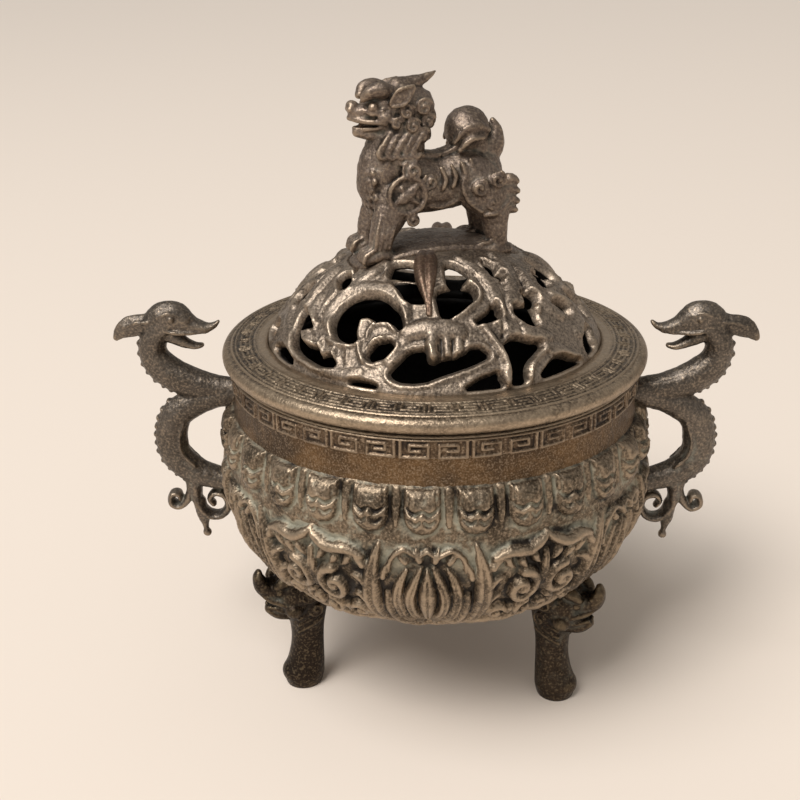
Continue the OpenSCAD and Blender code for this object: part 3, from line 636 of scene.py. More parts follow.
@dataclass(frozen=True)
class AgedBronze:
    """Cast bronze left to brown: dark in the hollows, rubbed to metal on the edges, sandy from its mould.

    The eye reads a warm brown ground, pale sparks where it is rubbed and grey-green dust in the hollows.
    """

    name: str
    ground: str = "#5d5145"
    tint: str = "#74665a"
    hollow: str = "#211b16"
    rubbed: str = "#b8a58e"
    verdigris: str = "#a9ada0"
    rub: float = 0.75
    green: float = 0.15
    bloom: tuple[float, float] = (0.0, 120.0)
    sand: float = 0.6
    rough: float = 0.45
    grain_mm: float = 0.42
    cloud_mm: float = 9.0
    stir: float = 0.8
    # colour of soot inside the bowl, and of painted shade inside the lid
    soot: str = "#1c1815"

    def material(self) -> bpy.types.Material:
        """The finish as a node material.

        Returns:
            The material.
        """
        made = bpy.data.materials.new(self.name)
        made.use_nodes = True
        made.node_tree.nodes.clear()
        add = partial(add_node, made.node_tree)
        times, plus, less, most = ({"operation": k} for k in ("MULTIPLY", "ADD", "SUBTRACT", "MAXIMUM"))
        eased, mixed = {"interpolation_type": "SMOOTHSTEP"}, {"data_type": "RGBA"}

        where = add("TexCoord", "Object")
        height = add("SeparateXYZ", "Z", Vector=where)
        relief = add("Attribute", "Fac", {"attribute_name": "relief"})
        # soot inside the bowl, and painted shade inside the lid, darken and dull the metal
        soot = add("Attribute", "Fac", {"attribute_name": "soot"})
        clouds = add("TexNoise", 0, Vector=where, Scale=1 / (self.cloud_mm * MM), Detail=5.0, Roughness=0.62)
        # the real sand is finer: it is drawn as coarse as it needs to show
        grain = add("TexNoise", 0, Vector=where, Scale=1 / (self.grain_mm * MM), Detail=2.0, Roughness=0.55)
        grit = add("TexNoise", 0, Vector=where, Scale=1 / (3.2 * self.grain_mm * MM), Detail=2.0)

        # how far the skin stands proud, with its line broken by grit and clouds
        stir = add("Math", 0, less, i0=add("Math", 0, plus, i0=grit, i1=clouds), i1=1.0)
        proud = add("Math", 0, plus, i0=relief, i1=add("Math", 0, times, i0=stir, i1=self.stir))
        rubbed = add("MapRange", 0, eased, Value=proud, From_Min=0.2, From_Max=0.85, To_Max=self.rub)
        hollow = add("MapRange", 0, eased, Value=proud, From_Min=-0.1, From_Max=-0.65)
        pale = add("MapRange", 0, eased, Value=grain, From_Min=0.5, From_Max=0.68, To_Max=self.sand)
        dark = add("MapRange", 0, eased, Value=grain, From_Min=0.5, From_Max=0.32, To_Max=self.sand)
        low, high = (z * MM for z in self.bloom)
        over = add("MapRange", 0, eased, Value=height, From_Min=low - 3 * MM, From_Max=low + 3 * MM)
        under = add("MapRange", 0, eased, Value=height, From_Min=high + 2 * MM, From_Max=high - 2 * MM)
        patch = add("MapRange", 0, eased, Value=clouds, From_Min=0.44, From_Max=0.58, To_Max=self.green)
        bed = add("Math", 0, times, i0=add("Math", 0, times, i0=over, i1=under), i1=patch)
        sunk = add("MapRange", 0, eased, Value=proud, From_Min=0.25, From_Max=-0.3)
        dust = add("Math", 0, times, i0=bed, i1=sunk)

        cloudy = add("MapRange", 0, eased, Value=clouds, From_Min=0.36, From_Max=0.64)
        colour = add("Mix", 2, mixed, i0=cloudy, i6=linear(self.ground), i7=linear(self.tint))
        layers = [(dark, self.hollow), (pale, self.rubbed), (hollow, self.hollow), (rubbed, self.rubbed)]
        for share, code in layers + [(dust, self.verdigris), (soot, self.soot)]:
            colour = add("Mix", 2, mixed, i0=share, i6=colour, i7=linear(code))
        rough = add("Math", 0, plus, i0=add("Math", 0, times, i0=grit, i1=0.3), i1=self.rough - 0.15)
        rough = add("Math", 0, less, i0=rough, i1=add("Math", 0, times, i0=rubbed, i1=0.1))
        rough = add("Math", 0, plus, i0=rough, i1=add("Math", 0, times, i0=dust, i1=0.35))
        dull = add("Math", 0, most, i0=dust, i1=add("Math", 0, times, i0=hollow, i1=0.4))
        dull = add("Math", 0, most, i0=dull, i1=soot)
        rough = add("Math", 0, plus, i0=rough, i1=add("Math", 0, times, i0=soot, i1=0.3))
        metal = add("Math", 0, less, i0=0.92, i1=add("Math", 0, times, i0=dull, i1=0.8))
        skin = add("Math", 0, plus, i0=grain, i1=add("Math", 0, times, i0=grit, i1=1.6))
        bump = add("Bump", 0, Strength=0.75, Distance=0.11 * MM, Height=skin)
        shader = add("BsdfPrincipled", 0, Base_Color=colour, Roughness=rough, Metallic=metal, Normal=bump)
        add("OutputMaterial", Surface=shader)
        return made


def weather(mesh: bpy.types.Mesh, amount: float) -> None:
    """Makes a cast skin uneven, as wax and sand leave it.

    Args:
        mesh: The mesh to change, in millimetres.
        amount: How far the skin swells and sinks.
    """
    places = coordinates(mesh)
    size = SWELLING_MM
    swell = [noise.noise(p / size) + 0.5 * noise.noise(p * 2.3 / size) for p in map(Vector, places)]
    move(mesh, places + coordinates(mesh, "normal") * (np.array(swell) * amount)[:, None])


def mark_relief(mesh: bpy.types.Mesh, reach: int, full: float) -> None:
    """Writes how far each point stands proud of its surroundings, from -1 to 1, as the attribute relief.

    Args:
        mesh: The mesh to mark, in millimetres.
        reach: Rounds of averaging that make the surroundings.
        full: Height that counts as fully proud.
    """
    places = coordinates(mesh)
    pairs = np.empty(len(mesh.edges) * 2, np.int64)
    mesh.edges.foreach_get("vertices", pairs)
    a, b = pairs[::2], pairs[1::2]
    count = np.maximum(np.bincount(pairs, minlength=len(places)), 1)[:, None]
    mean = places.copy()
    for _ in range(reach):
        columns = [(np.bincount(a, m[b], len(m)) + np.bincount(b, m[a], len(m))) for m in mean.T]
        mean = 0.5 * mean + 0.5 * np.stack(columns, axis=1) / count
    proud = ((places - mean) * coordinates(mesh, "normal")).sum(axis=1) / full
    mark(mesh, "relief", np.clip(proud, -1, 1))


@dataclass
class Handover:
    """Where a finished piece belongs."""

    body: str
    slot: str
    finish: bpy.types.Material
    nodes: tuple[str, ...] = ()
    reach: int = 24
    full: float = 0.16
    uneven: float = 0.0

    def give(self, piece: bpy.types.Object) -> None:
        """Weathers, marks, dresses and scales a piece, and sets it riding.

        Args:
            piece: The piece, in millimetres.
        """
        if self.uneven:
            weather(piece.data, self.uneven)
        mark_relief(piece.data, self.reach, self.full)
        piece.data.transform(Matrix.Scale(MM, 4))
        piece.data.shade_smooth()
        piece.data.materials.append(self.finish)
        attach(piece, self.body)
        if self.nodes:
            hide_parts(*self.nodes)
        LOG.info("%s: %d faces, rides on %s", piece.name, len(piece.data.polygons), self.body)


# Lotus petal: the scalloped foot of its panel, as u, v, half width and depth.
PETAL = """
dent: -2.7 51 .3 .3, -2.1 50.4 .35 .55, -1.1 49.9 .4 .7, 0 50.5 .3 .5, 1.1 49.9 .4 .7, 2.1 50.4 .35 .55,
    2.7 51 .3 .3
"""
# Its border, and a curl in the dark hollow under the panel.
PETAL_SIDE = """
dent: 2.15 53.6 .22 .2, 2.2 51 .25 .3;
dent: .3 48.8 .3 .4, 1.15 48.2 .4 .5, 2.1 48.9 .3 .4;
round: 1 49.2 .42 1.9, 1.15 49.15 .42 1.9
"""

# Bud of the palmette and its seam.
PALMETTE = """
round: 0 41 .3 1, 0 38.6 1.2 1.6, 0 35 1.6 1.9, 0 31.6 1 1.6, 0 29.6 .5 1.1;
dent: 0 39.4 .25 .5, 0 31.4 .25 .5
"""
# Petals, calyx and crest, a tall leaf with leaflets, a wing of cloud over lobes, volutes and stems.
SCROLLS = """
grooved: .8 30 .7 1.2, 2.4 32.2 1 1.6, 2.9 35.8 1.05 1.7, 1.9 39 .7 1.3, 1 41.3 .35 .9;
grooved: 1.2 28.8 .7 1.1, 4 31 1.05 1.5, 5 34.8 1.1 1.6, 4.4 38.4 .8 1.2, 3.3 40.8 .4 .8;
round: 2 27.4 .6 .9, 5.4 29.4 .9 1.3, 6.6 32.8 .95 1.3, 6.6 36 .6 1;
comma: 1.2 42.6 60 1.9 .75 1.3 .6, 3.4 42.3 40 2.2 .8 1.2 .8;
round: 0 43.9 .4 .9, 1.6 43.2 .45 1, 3.8 44 .5 1, 5.6 42.6 .5 .9, 6.1 40.4 .35 .7;
spiral: 2 27.4 1.2 1.1 .5 1.1 90 1;
round: 0 25.6 .6 .9, 2.6 25.3 .7 1, 5.4 26.6 .7 1, 7 28.6 .5 .9;
grooved: 7 28.2 .7 1.1, 8.6 30.8 1.4 1.7, 9.3 34.6 1.7 2, 9 38.8 1.5 1.9, 8.3 42.2 .9 1.5, 7.6 44.6 .4 .9;
comma: 10.2 41.2 52 2.4 .95 1.6 -1.2, 10.2 38 52 2.6 .95 1.6 -1.2, 10.2 34.6 52 2.4 .95 1.6 -1.2,
    10.2 31.4 52 2.2 .95 1.6 -1.2, 7 39.6 100 2.6 .8 1.3 .5;
round: 10.4 42.4 .6 1.2, 13 43.2 .95 1.6, 16 43 1 1.7, 18.4 44 .8 1.4, 19.4 45 .4 .8;
comma: 12.6 41.9 -65 2 .85 1.4 .7, 14.9 41.6 -65 2 .85 1.4 .7, 17.2 41.9 -65 2 .85 1.4 .7;
spiral: 15.7 36.4 3 1.35 .95 1.6 90 -1;
round: 15.7 36.4 .95 1.9, 15.6 36.3 .95 1.9;
grooved: 19.38 42 .5 1, 19.2 38.6 .8 1.5, 18.9 35.2 .6 1.1;
spiral: 12.2 31 1.7 1.15 .62 1.4 22.918 1, 17.4 31.3 2 1.2 .7 1.5 90 1;
comma: 14.8 31.6 -90 3 .8 1.2 .6;
round: 8.6 27.6 .6 1, 11.4 27.2 .9 1.3, 15 27 .9 1.3, 18 27.8 .7 1.1, 19.38 28.8 .4 .8;
round: 7.4 25.4 .5 .8, 11 24.8 .7 .9, 15 24.6 .7 .9, 19.38 25.2 .6 .8
"""


@dataclass
class Bowl:
    """Round cast bowl with a fret band, lotus petals and scrolls in relief."""

    mouth_r: float = 36.3
    mouth_z: float = 62.6
    band_h: float = 3.8
    belly_r: float = 38.1
    belly_z: float = 43.0
    base_r: float = 12.0
    base_z: float = 19.4
    wall: float = 2.2
    fret_pairs: int = 20
    fret_z: tuple[float, float] = (58.5, 62.25)
    petals: int = 28
    petal_r: float = 37.9
    petal_z: tuple[float, float] = (43.7, 55.0)
    petal_front: float = -2.7
    palmettes: int = 6
    palmette_mm: float = 60 * 0.646
    palmette_z: tuple[float, float] = (23.4, 46.7)
    palmette_front: float = -1.5
    sunk: float = 0.8
    outer: np.ndarray = field(init=False)
    normal: np.ndarray = field(init=False)

    def __post_init__(self) -> None:
        """Draws the outer half section, from the lip to the underside."""
        band = np.linspace(self.mouth_z, self.mouth_z - self.band_h, 12)[:-1]
        lip = np.column_stack([np.full(len(band), self.mouth_r), band])
        self.outer = np.concatenate([lip, self.side(self.mouth_r, self.belly_r, self.base_z)])
        along = unit(np.gradient(self.outer, axis=0))
        self.normal = np.column_stack([-along[:, 1], along[:, 0]])

    def side(self, mouth: float, belly: float, low: float) -> np.ndarray:
        """Curve of the wall from below the lip to the flat underside.

        Args:
            mouth: Radius below the lip.
            belly: Largest radius.
            low: Height of the underside.

        Returns:
            Radius and height of each point.
        """
        top = self.mouth_z - self.band_h
        above = bezier([[mouth, top], [mouth, top - 6], [belly, self.belly_z + 6], [belly, self.belly_z]], 40)
        swell = [belly, self.belly_z - 0.6 * (self.belly_z - low)]
        foot = [self.base_r + 0.56 * (belly - self.base_r), low]
        below = bezier([[belly, self.belly_z], swell, foot, [self.base_r, low]], 90)
        return np.concatenate([above, below[1:]])

    def rows_between(self, low: float, high: float, count: int) -> tuple[np.ndarray, np.ndarray]:
        """Wall points and outward directions at equal steps from one height up to another.

        Args:
            low: The lower height.
            high: The upper height.
            count: How many points.

        Returns:
            The points and the directions.
        """
        stretch = np.append(0, np.cumsum(np.linalg.norm(np.diff(self.outer, axis=0), axis=1)))
        ends = np.interp([-low, -high], -self.outer[:, 1], stretch)
        at = np.linspace(ends[0], ends[1], count)
        point = np.column_stack([np.interp(at, stretch, self.outer[:, k]) for k in (0, 1)])
        out = np.column_stack([np.interp(at, stretch, self.normal[:, k]) for k in (0, 1)])
        return point, unit(out)

    def sink(self, thing: bpy.types.Object, depth: float) -> None:
        """Moves what reaches deeper than depth into the wall back to that depth.

        Args:
            thing: The piece that meets the wall.
            depth: How deep it may reach.
        """
        places = coordinates(thing.data)
        flat = np.column_stack([np.hypot(places[:, 0], places[:, 1]), places[:, 2]])
        near = np.array([((self.outer - p) ** 2).sum(axis=1).argmin() for p in flat])
        gap = ((flat - self.outer[near]) * self.normal[near]).sum(axis=1)
        deep = (gap < -depth) & (flat[:, 1] < self.mouth_z)
        moved = flat + self.normal[near] * np.where(deep, -depth - gap, 0)[:, None]
        scale = moved[:, 0] / np.maximum(flat[:, 0], 1e-6)
        places = np.column_stack([places[:, 0] * scale, places[:, 1] * scale, moved[:, 1]])
        move(thing.data, places)

    def shell(self) -> bpy.types.Object:
        """Plain wall of the bowl, a hair inside the bands of relief.

        Returns:
            The wall.
        """
        skin = self.outer - self.normal * 0.1
        inner = self.side(self.mouth_r - self.wall, self.belly_r - self.wall, self.base_z + self.wall)
        bore, top = self.mouth_r - self.wall, self.mouth_z
        lip = [[bore, top - 0.5], [bore + 0.5, top], [self.mouth_r - 0.6, top]]
        profile = [*lip, *skin[1:], [0.0, self.base_z + 0.1], [0.0, self.base_z + self.wall], *inner[::-1]]
        wall = as_object(turned(profile, SPIN_STEPS), "bowl_wall")
        places = coordinates(wall.data)
        skin_r = np.interp(-places[:, 2], -self.outer[:, 1], self.outer[:, 0])
        deep = skin_r - np.hypot(places[:, 0], places[:, 1])
        soot = np.clip((deep - 0.6) / 0.8, 0, 1) * np.clip((self.mouth_z - 1 - places[:, 2]) / 4, 0, 1)
        mark(wall.data, "soot", soot * (places[:, 2] > self.base_z + 1))
        return wall

    def worn(
        self, heights: np.ndarray, v: np.ndarray, amount: float, rough: float, dip: int, start: float
    ) -> np.ndarray:
        """Relief rubbed down and cast unevenly, with its edges dipping into the wall.

        Args:
            heights: Relief at each row and column, once round.
            v: Height of each row.
            amount: Share by which the relief rises and falls.
            rough: Height of the small lumps.
            dip: Rows over which each edge sinks.
            start: Direction of the first column, in radians.

        Returns:
            The worn relief.
        """
        turn = start + np.arange(heights.shape[1]) * math.tau / heights.shape[1]
        about_r = 38  # the lumps are as if the wall were a plain cylinder
        places = [[Vector((about_r * math.sin(a), about_r * math.cos(a), z)) for a in turn] for z in v]
        wide = np.array([[noise.noise(p * 0.16) for p in row] for row in places])
        fine = np.array([[noise.noise(p * 0.8) + 0.6 * noise.noise(p * 1.7) for p in row] for row in places])
        out = heights * (1 + amount * wide) + rough * fine
        row = np.arange(len(v))
        stays = np.clip(np.minimum(row, row[::-1]) / dip, 0, 1)[:, None]
        stays = stays * stays * (3 - 2 * stays)
        return out * stays - 0.45 * (1 - stays)

    def band(
        self, name: str, art: Chasing, count: int, wear: Sequence[float], start: float
    ) -> bpy.types.Object:
        """Ring of an ornament on the wall.

        Args:
            name: The new object's name.
            art: One repeat of the ornament.
            count: How often it repeats.
            wear: What worn() takes as amount, rough and dip.
            start: Direction of the first column, in radians.

        Returns:
            The ring.
        """
        v = art.v[:, 0]
        heights = self.worn(np.tile(art.height, (1, count)), v, *wear, start)
        point, out = self.rows_between(v[0], v[-1], len(v))
        return as_object(collar(point, out, heights, self.sunk, start), name)

    def fret(self) -> bpy.types.Object:
        """Key fret under the lip: squared spirals in mirrored pairs, under one border line.

        Returns:
            The fret.
        """
        pitch = math.tau * self.mouth_r / self.fret_pairs
        art = Chasing(pitch, *self.fret_z, 72, 26)
        half, rise = 0.3, 0.34
        art.line([[-pitch, 61.95, 0.24, rise], [pitch, 61.95, 0.24, rise]], Section.FLAT, sharp=True)
        step = pitch / 2
        key = [[0.35, 61.9], [0.35, 58.95], [4.6, 58.95], [4.6, 61], [1.75, 61], [1.75, 60], [3.4, 60]]
        for s in SIDES:
            rows = [[s * (u / 5.2 * (step - 0.35) + 0.1), v, half, rise] for u, v in key]
            art.line(rows, Section.FLAT, sharp=True)
        return self.band("bowl_fret", art, self.fret_pairs, (0.5, 0.04, 2), 0.0)

    def lotus(self) -> bpy.types.Object:
        """Band of round lotus petals, each with a panel over two curls, and narrow leaves between them.

        Returns:
            The band of petals.
        """
        pitch = math.tau * self.petal_r / self.petals
        art = Chasing(pitch, *self.petal_z, 44, 54)
        edge = [[-2.9, 53.9], [2.9, 53.9], [3.1, 50.6], [3.0, 49.0], [2.5, 47.5], [1.5, 46.5], [0, 46.1]]
        art.boss(edge + [[-u, v] for u, v in edge[-2:1:-1]], 1.35, 1.7, 0.6)
        art.forms(PETAL)
        for s in SIDES:
            art.forms(PETAL_SIDE, s)
            rib = s * pitch / 2
            art.line([[rib, 53.4, 0.8, 0.4], [rib, 50.5, 0.85, 0.6], [rib, 47.6, 0.4, 0.45]], Section.FLAT)
        start = math.radians(self.petal_front) - math.pi / self.petals
        return self.band("bowl_petals", art, self.petals, (0.3, 0.09, 6), start)

    def scrolls(self) -> bpy.types.Object:
        """Lotus palmettes between tall leaves and scrolling clouds, packed close round the belly.

        Returns:
            The band of scrolls.
        """
        art = Chasing(self.palmette_mm, *self.palmette_z, 156, 98)
        art.forms(PALMETTE)
        for s in SIDES:
            art.forms(SCROLLS, s)
        start = math.radians(self.palmette_front) - math.pi / self.palmettes
        return self.band("bowl_scrolls", art, self.palmettes, (0.35, 0.09, 6), start)

    def build(self, wall: bpy.types.Material, fret: bpy.types.Material, relief: bpy.types.Material) -> None:
        """Makes the wall and its bands of relief.

        Args:
            wall: Finish of the plain wall.
            fret: Finish of the key fret.
            relief: Finish of the petals and scrolls.
        """
        Handover("vessel", "bowl_bronze", wall, ("bowl",), 6, 0.1).give(self.shell())
        Handover("vessel", "bowl_bronze", fret, (), 20, 0.24).give(self.fret())
        Handover("vessel", "bowl_bronze", relief, (), 30, 0.4).give(self.lotus())
        Handover("vessel", "bowl_bronze", relief, (), 34, 0.5).give(self.scrolls())


# Openings of the dome, each a closed outline: direction from the front and angle down from the crown.
HOLES = """
great ring: -40.5 47.5, -43 45, -44 41.5, -42.5 38.5, -39 36, -33 34.5, -26.5 34.5, -20 36.5, -15.5 39,
    -13.5 43, -15.5 42, -18 41, -21.5 41, -24 41.5, -27 40.5, -30 40.5, -32.5 41.5, -33 43, -32.5 45.5,
    -31.5 47.5, -30.5 48.5, -32.5 49, -35.5 49, -38.5 48.5;
under the curled leaf: -17 47.5, -15.5 48.5, -16 49.5, -18 51.5, -20.5 52.5, -22 53, -23 52, -22 50,
    -20.5 48.5, -18.5 48;
wide lens at the front: -3.5 49.5, -3 51.5, -2 53, 0 53.5, 1.5 53, 2.5 52.5, 5.5 52, 7.5 52, 10.5 51,
    12 50.5, 13.5 49.5, 16.5 49.5, 18 50.5, 19 51.5, 16 52.5, 12.5 53.5, 8 54.5, 4 55.5, .5 56.5, -2.5 57.5,
    -6.5 58, -10 58, -12.5 57.5, -14 56.5, -13.5 55.5, -12 54, -10.5 52.5, -9 51, -7 50;
right of the arc: 27 49.5, 30 48.5, 33.5 49, 37 50.5, 41 51.5, 38 53, 34 54.5, 31.5 56.5, 30.5 58.5,
    30 60.5, 26 60.5, 27 58, 27 56, 27 53, 27 51;
low on the right: 37.5 60, 40.5 58.5, 43 57.5, 46.5 57, 49.5 58, 52.5 59.5, 56 60.5, 50 60.5, 45.5 60.5,
    41 60.5, 37.5 60.5;
at the foot right: 10.5 60.5, 12.5 59.5, 16 58, 19 57.5, 21 57, 21 58.5, 21.5 60.5, 17.5 60.5, 13.5 60.5;
slot at the foot: -27.5 60.5, -24.5 60, -21.5 60, -18.5 60.5, -20.5 60.5, -24.5 60.5;
right of the bud: 2 32.5, 2.5 31, 5 30, 9 29.5, 14.5 29.5, 19.5 30.5, 20.5 32.5, 19 34, 15 35.5, 10.5 37.5,
    6 39, 4.5 39, 3 36.5;
top right of the bud: 10.5 20, 15.5 20, 20 22.5, 23.5 25.5, 18 26.5, 16 28, 13.5 29, 10.5 28.5, 9 26;
top left of the bud: -28 26, -31.5 22.5, -31.5 20.5, -15 20, -12.5 23, -12 25, -19.5 25;
left of the bud: -26 27.5, -18.5 26.5, -10.5 27, -8.5 28.5, -6.5 30.5, -5 33.5, -8.5 34, -13.5 33.5,
    -18 30.5, -22 28.5;
wedge: 18.5 41.5, 21 40.5, 25.5 39, 28.5 37.5, 27.5 39.5, 28.5 40.5, 23.5 41;
eye of the right: 38.5 39, 43 39.5, 46 40, 46 42, 45 44, 45 45.5, 41.5 44.5, 39 42.5, 38 41;
upper eye of the right: 49 35.5, 51.5 36.5, 52.5 38.5, 48 40, 47 39, 48.5 37;
high on the right: 75 31.5, 78.5 33, 79 35, 75.5 37.5, 71.5 37.5, 66.5 36, 69.5 34.5, 70.5 32.5;
far right: 62.5 42, 67 43.5, 69 45.5, 68 47.5, 65.5 46.5, 64 44.5;
crescent of the far right: 73 53.5, 68 54.5, 65 56.5, 63 58.5, 64 60.2, 69.5 60.5, 71.5 60, 71.5 58.5,
    72.5 57, 74 55;
top right: 44 20.5, 47 23, 43.5 26, 46.5 27.5, 42.5 28, 40.5 26, 42 23.5;
left of the ring: -61.5 32.5, -63 31, -60 30, -54 32, -50 34, -52 34.5, -56.5 34;
round the ruffled leaf: -64.5 46, -57 47.5, -54 49, -57 50, -57 51.5, -55.5 53, -52.5 54.5, -47.5 54.5,
    -44.5 54, -42.5 56, -41.5 56, -39.5 55, -37.5 55, -35.5 56.5, -37.5 57, -41.5 57.5, -47 57, -52 56.5,
    -56 55.5, -59 53.5, -61.5 51.5, -63 49, -64.5 47;
far left: -86 56, -80 55, -76 56, -77 58.5, -83 59.5, -87 58.5;
far left at the foot: -69 60, -65 58.5, -60.5 58.5, -56 59.5, -54.5 60.6, -60 60.8, -66 60.8;
sides where the front and the back meet: 80 43, 86 44, 90 49, 87 54, 81 52, 79 47;
sides where the front and the back meet: 82 30, 87 29, 92 33, 91 38, 86 39.5, 81 36;
sides where the front and the back meet: -84 41, -79 39.5, -75 43, -76.5 46, -81 47, -85 45
"""

# Raised forms of the dome: direction, angle down, half width and height along each.
RIDGES = """
middle band: -10 44.5 1.4 .9, -4 43 1.7 1.3, 2.5 43 1.7 1.1, 9.5 44 1.5 .9;
tongue: -.5 45.5 1 1.2, -1 48.5 .95 1.5, -.5 51 1 1.6, -.5 52.5 .8 1.2;
curled leaf: -30.5 48 .4 .5, -32.5 44.5 .5 .6, -31.5 42 .5 .6, -29.5 41 .5 .6, -26 41.5 .4 .5;
curled leaf 2: -25.5 47.5 .35 .5, -26 45 .4 .7, -24 43 .4 .7, -20.5 42 .4 .7, -17 43 .4 .7, -15 44.5 .35 .5;
curled leaf 3: -23.5 49 .35 .4, -22 47.5 .4 .6, -19 46.5 .4 .5;
ruffled lobe: -55.5 50.5 1.1 .7, -51 52 1.5 .9, -48 53.5 1 .7;
ruffled rib 1: -44.5 50 .45 .6, -44 52.5 .5 .8, -42.5 55 .4 .6;
ruffled rib 2: -37.5 51 .4 .6, -36.5 53.5 .45 .8, -35 56.5 .35 .6;
ruffled rib 3: -32.5 50.5 .4 .3, -31 53.5 .4 .4, -30.5 55.5 .35 .3;
ruffled rib 4: -28 49.5 .4 .6, -26.5 52 .45 .8, -24.5 54 .35 .6;
ruffled edge: -44.5 49.5 .35 .5, -38 51 .4 .6, -33 50.5 .4 .5, -28 49 .4 .5, -26.5 47.5 .3 .4;
long scroll: -80.5 44 1.1 .5, -76.5 48.5 1.2 .6, -70.5 52 1.2 .6, -63 55 1.2 .6, -55 57 1.1 .6, -46 58 1 .6,
    -37.5 59 1 .6, -30 58.5 1 .6, -24.5 57 .9 .5;
ring: -41.5 47.5 .9 .4, -48 45 1 .5, -50 40.5 1.1 .6, -48 35.5 1.2 .7, -41 32 1.2 .8, -30 31 1.2 .8,
    -19.5 32.5 1.1 .7, -13.5 36 .9 .6, -11.5 40 .8 .5;
strand left of the ring: -62.5 40 1 .6, -59 44.5 1.1 .7, -54.5 47 1 .6;
upper left leaf: -41 22 1 .7, -42 26 1.3 1, -45 29.5 1.3 .9, -46.5 33 1 .6;
upper left leaf 2: -76 30.5 1 .6, -72.5 34.5 1.2 .8, -69.5 39 1.2 .8, -67 43.5 1 .6;
leaf left of the lens: -10.5 46 1 .4, -13.5 49.5 1 .5, -15.5 53 .9 .4;
right leaf 1: 4.5 47 .9 .6, 4.5 50.5 .8 .6;
right leaf 2: 9 47 .9 .6, 8.5 50 .8 .6;
arc: 19.5 43 .7 .7, 21.5 46 .7 .9, 23.5 50.5 .7 1, 24.5 54.5 .7 1, 24 58 .7 .9, 24 60.5 .7 .7;
low right strand: 39.5 53 .7 .6, 35 55 .8 .7, 32.5 58 .8 .7, 31 60.5 .8 .6;
low right leaf: 42 53 .9 .6, 47 54.5 1.2 .8, 52 57.5 1.2 .7, 56 60 1 .6;
right mass: 26.5 41 1 .6, 29 44 1.3 .8, 34 46 1.3 .8, 39.5 48 1.2 .8, 44.5 50 1.2 .9;
strand of the upper right: 24.5 17 .9 .6, 30 21.5 1.1 .8, 32.5 28 1.2 .8, 32.5 32.5 1.2 .8, 31 36.5 1.1 1,
    30.5 40 .9 .7;
hook: 22 27.5 .8 .8, 24 30.5 .9 .8, 21.5 34 .9 .7, 15 37 .9 .6, 8.5 39 .8 .5;
second strand: 61 19.5 1 .7, 55.5 24 1.1 .8, 48.5 29.5 1.2 .7, 42.5 34.5 1.2 .7, 37 38.5 1 .6;
third strand: 62.5 30 1 .6, 56 35 .9 .9, 55.5 39 .9 .9, 56 42 .9 .8, 58 45.5 .9 .8;
right edge leaf: 66.5 40 .9 .7, 72 44.5 1 .7, 73 48 1 .7, 70 51 1.2 .7, 63.5 53 1.3 .7
"""

# Grooves of the dome: direction, angle down, half width and depth along each.
FURROWS = """
ring and left strand: -50 30.5 .4 .6, -54 35.5 .45 .8, -54.5 41 .45 .8, -51.5 45.5 .4 .6;
left leaf and scroll: -80 35 .35 .5, -77 40 .4 .7, -74 45.5 .4 .7;
right leaf lobes 1: 3 46.5 .35 .5, 3 51.5 .35 .6;
right leaf lobes 2: 7 46 .3 .5, 6.5 51.5 .3 .6;
right leaf lobes 3: 11 46.5 .3 .5, 11.5 50.5 .3 .5;
right mass 1: 28.5 42 .3 .5, 27.5 46 .35 .6, 25.5 48 .3 .4;
right mass 2: 36 44 .3 .4, 34.5 47 .35 .6, 33.5 49.5 .3 .4;
upper right 1: 46.5 19 .35 .5, 45.5 25 .4 .7, 41 30.5 .4 .6;
upper right 2: 65 26 .35 .5, 56.5 31.5 .4 .7, 51.5 35 .35 .5;
upper left: -63 23.5 .35 .5, -57.5 28.5 .4 .7, -59.5 30 .3 .4
"""

# Knuckles of the dome: direction, angle down and radius.
KNOBS = ((45.5, 50.5, 1), (48.5, 41.5, 1), (59.5, 46.5, 0.9), (22.5, 28.5, 1), (-4.5, 43, 1))

# Half of a pod: direction, angle down, half depth and half width.
POD = (
    (-9.5, 13.5, 0.7, 0.8), (-8, 17, 1.3, 1.1), (-6.8, 21.5, 1.6, 1.15), (-5.4, 26, 1.5, 1.0),
    (-4, 30, 1.0, 0.7), (-2.8, 34, 0.6, 0.4), (-2, 38.5, 0.5, 0.3),
)


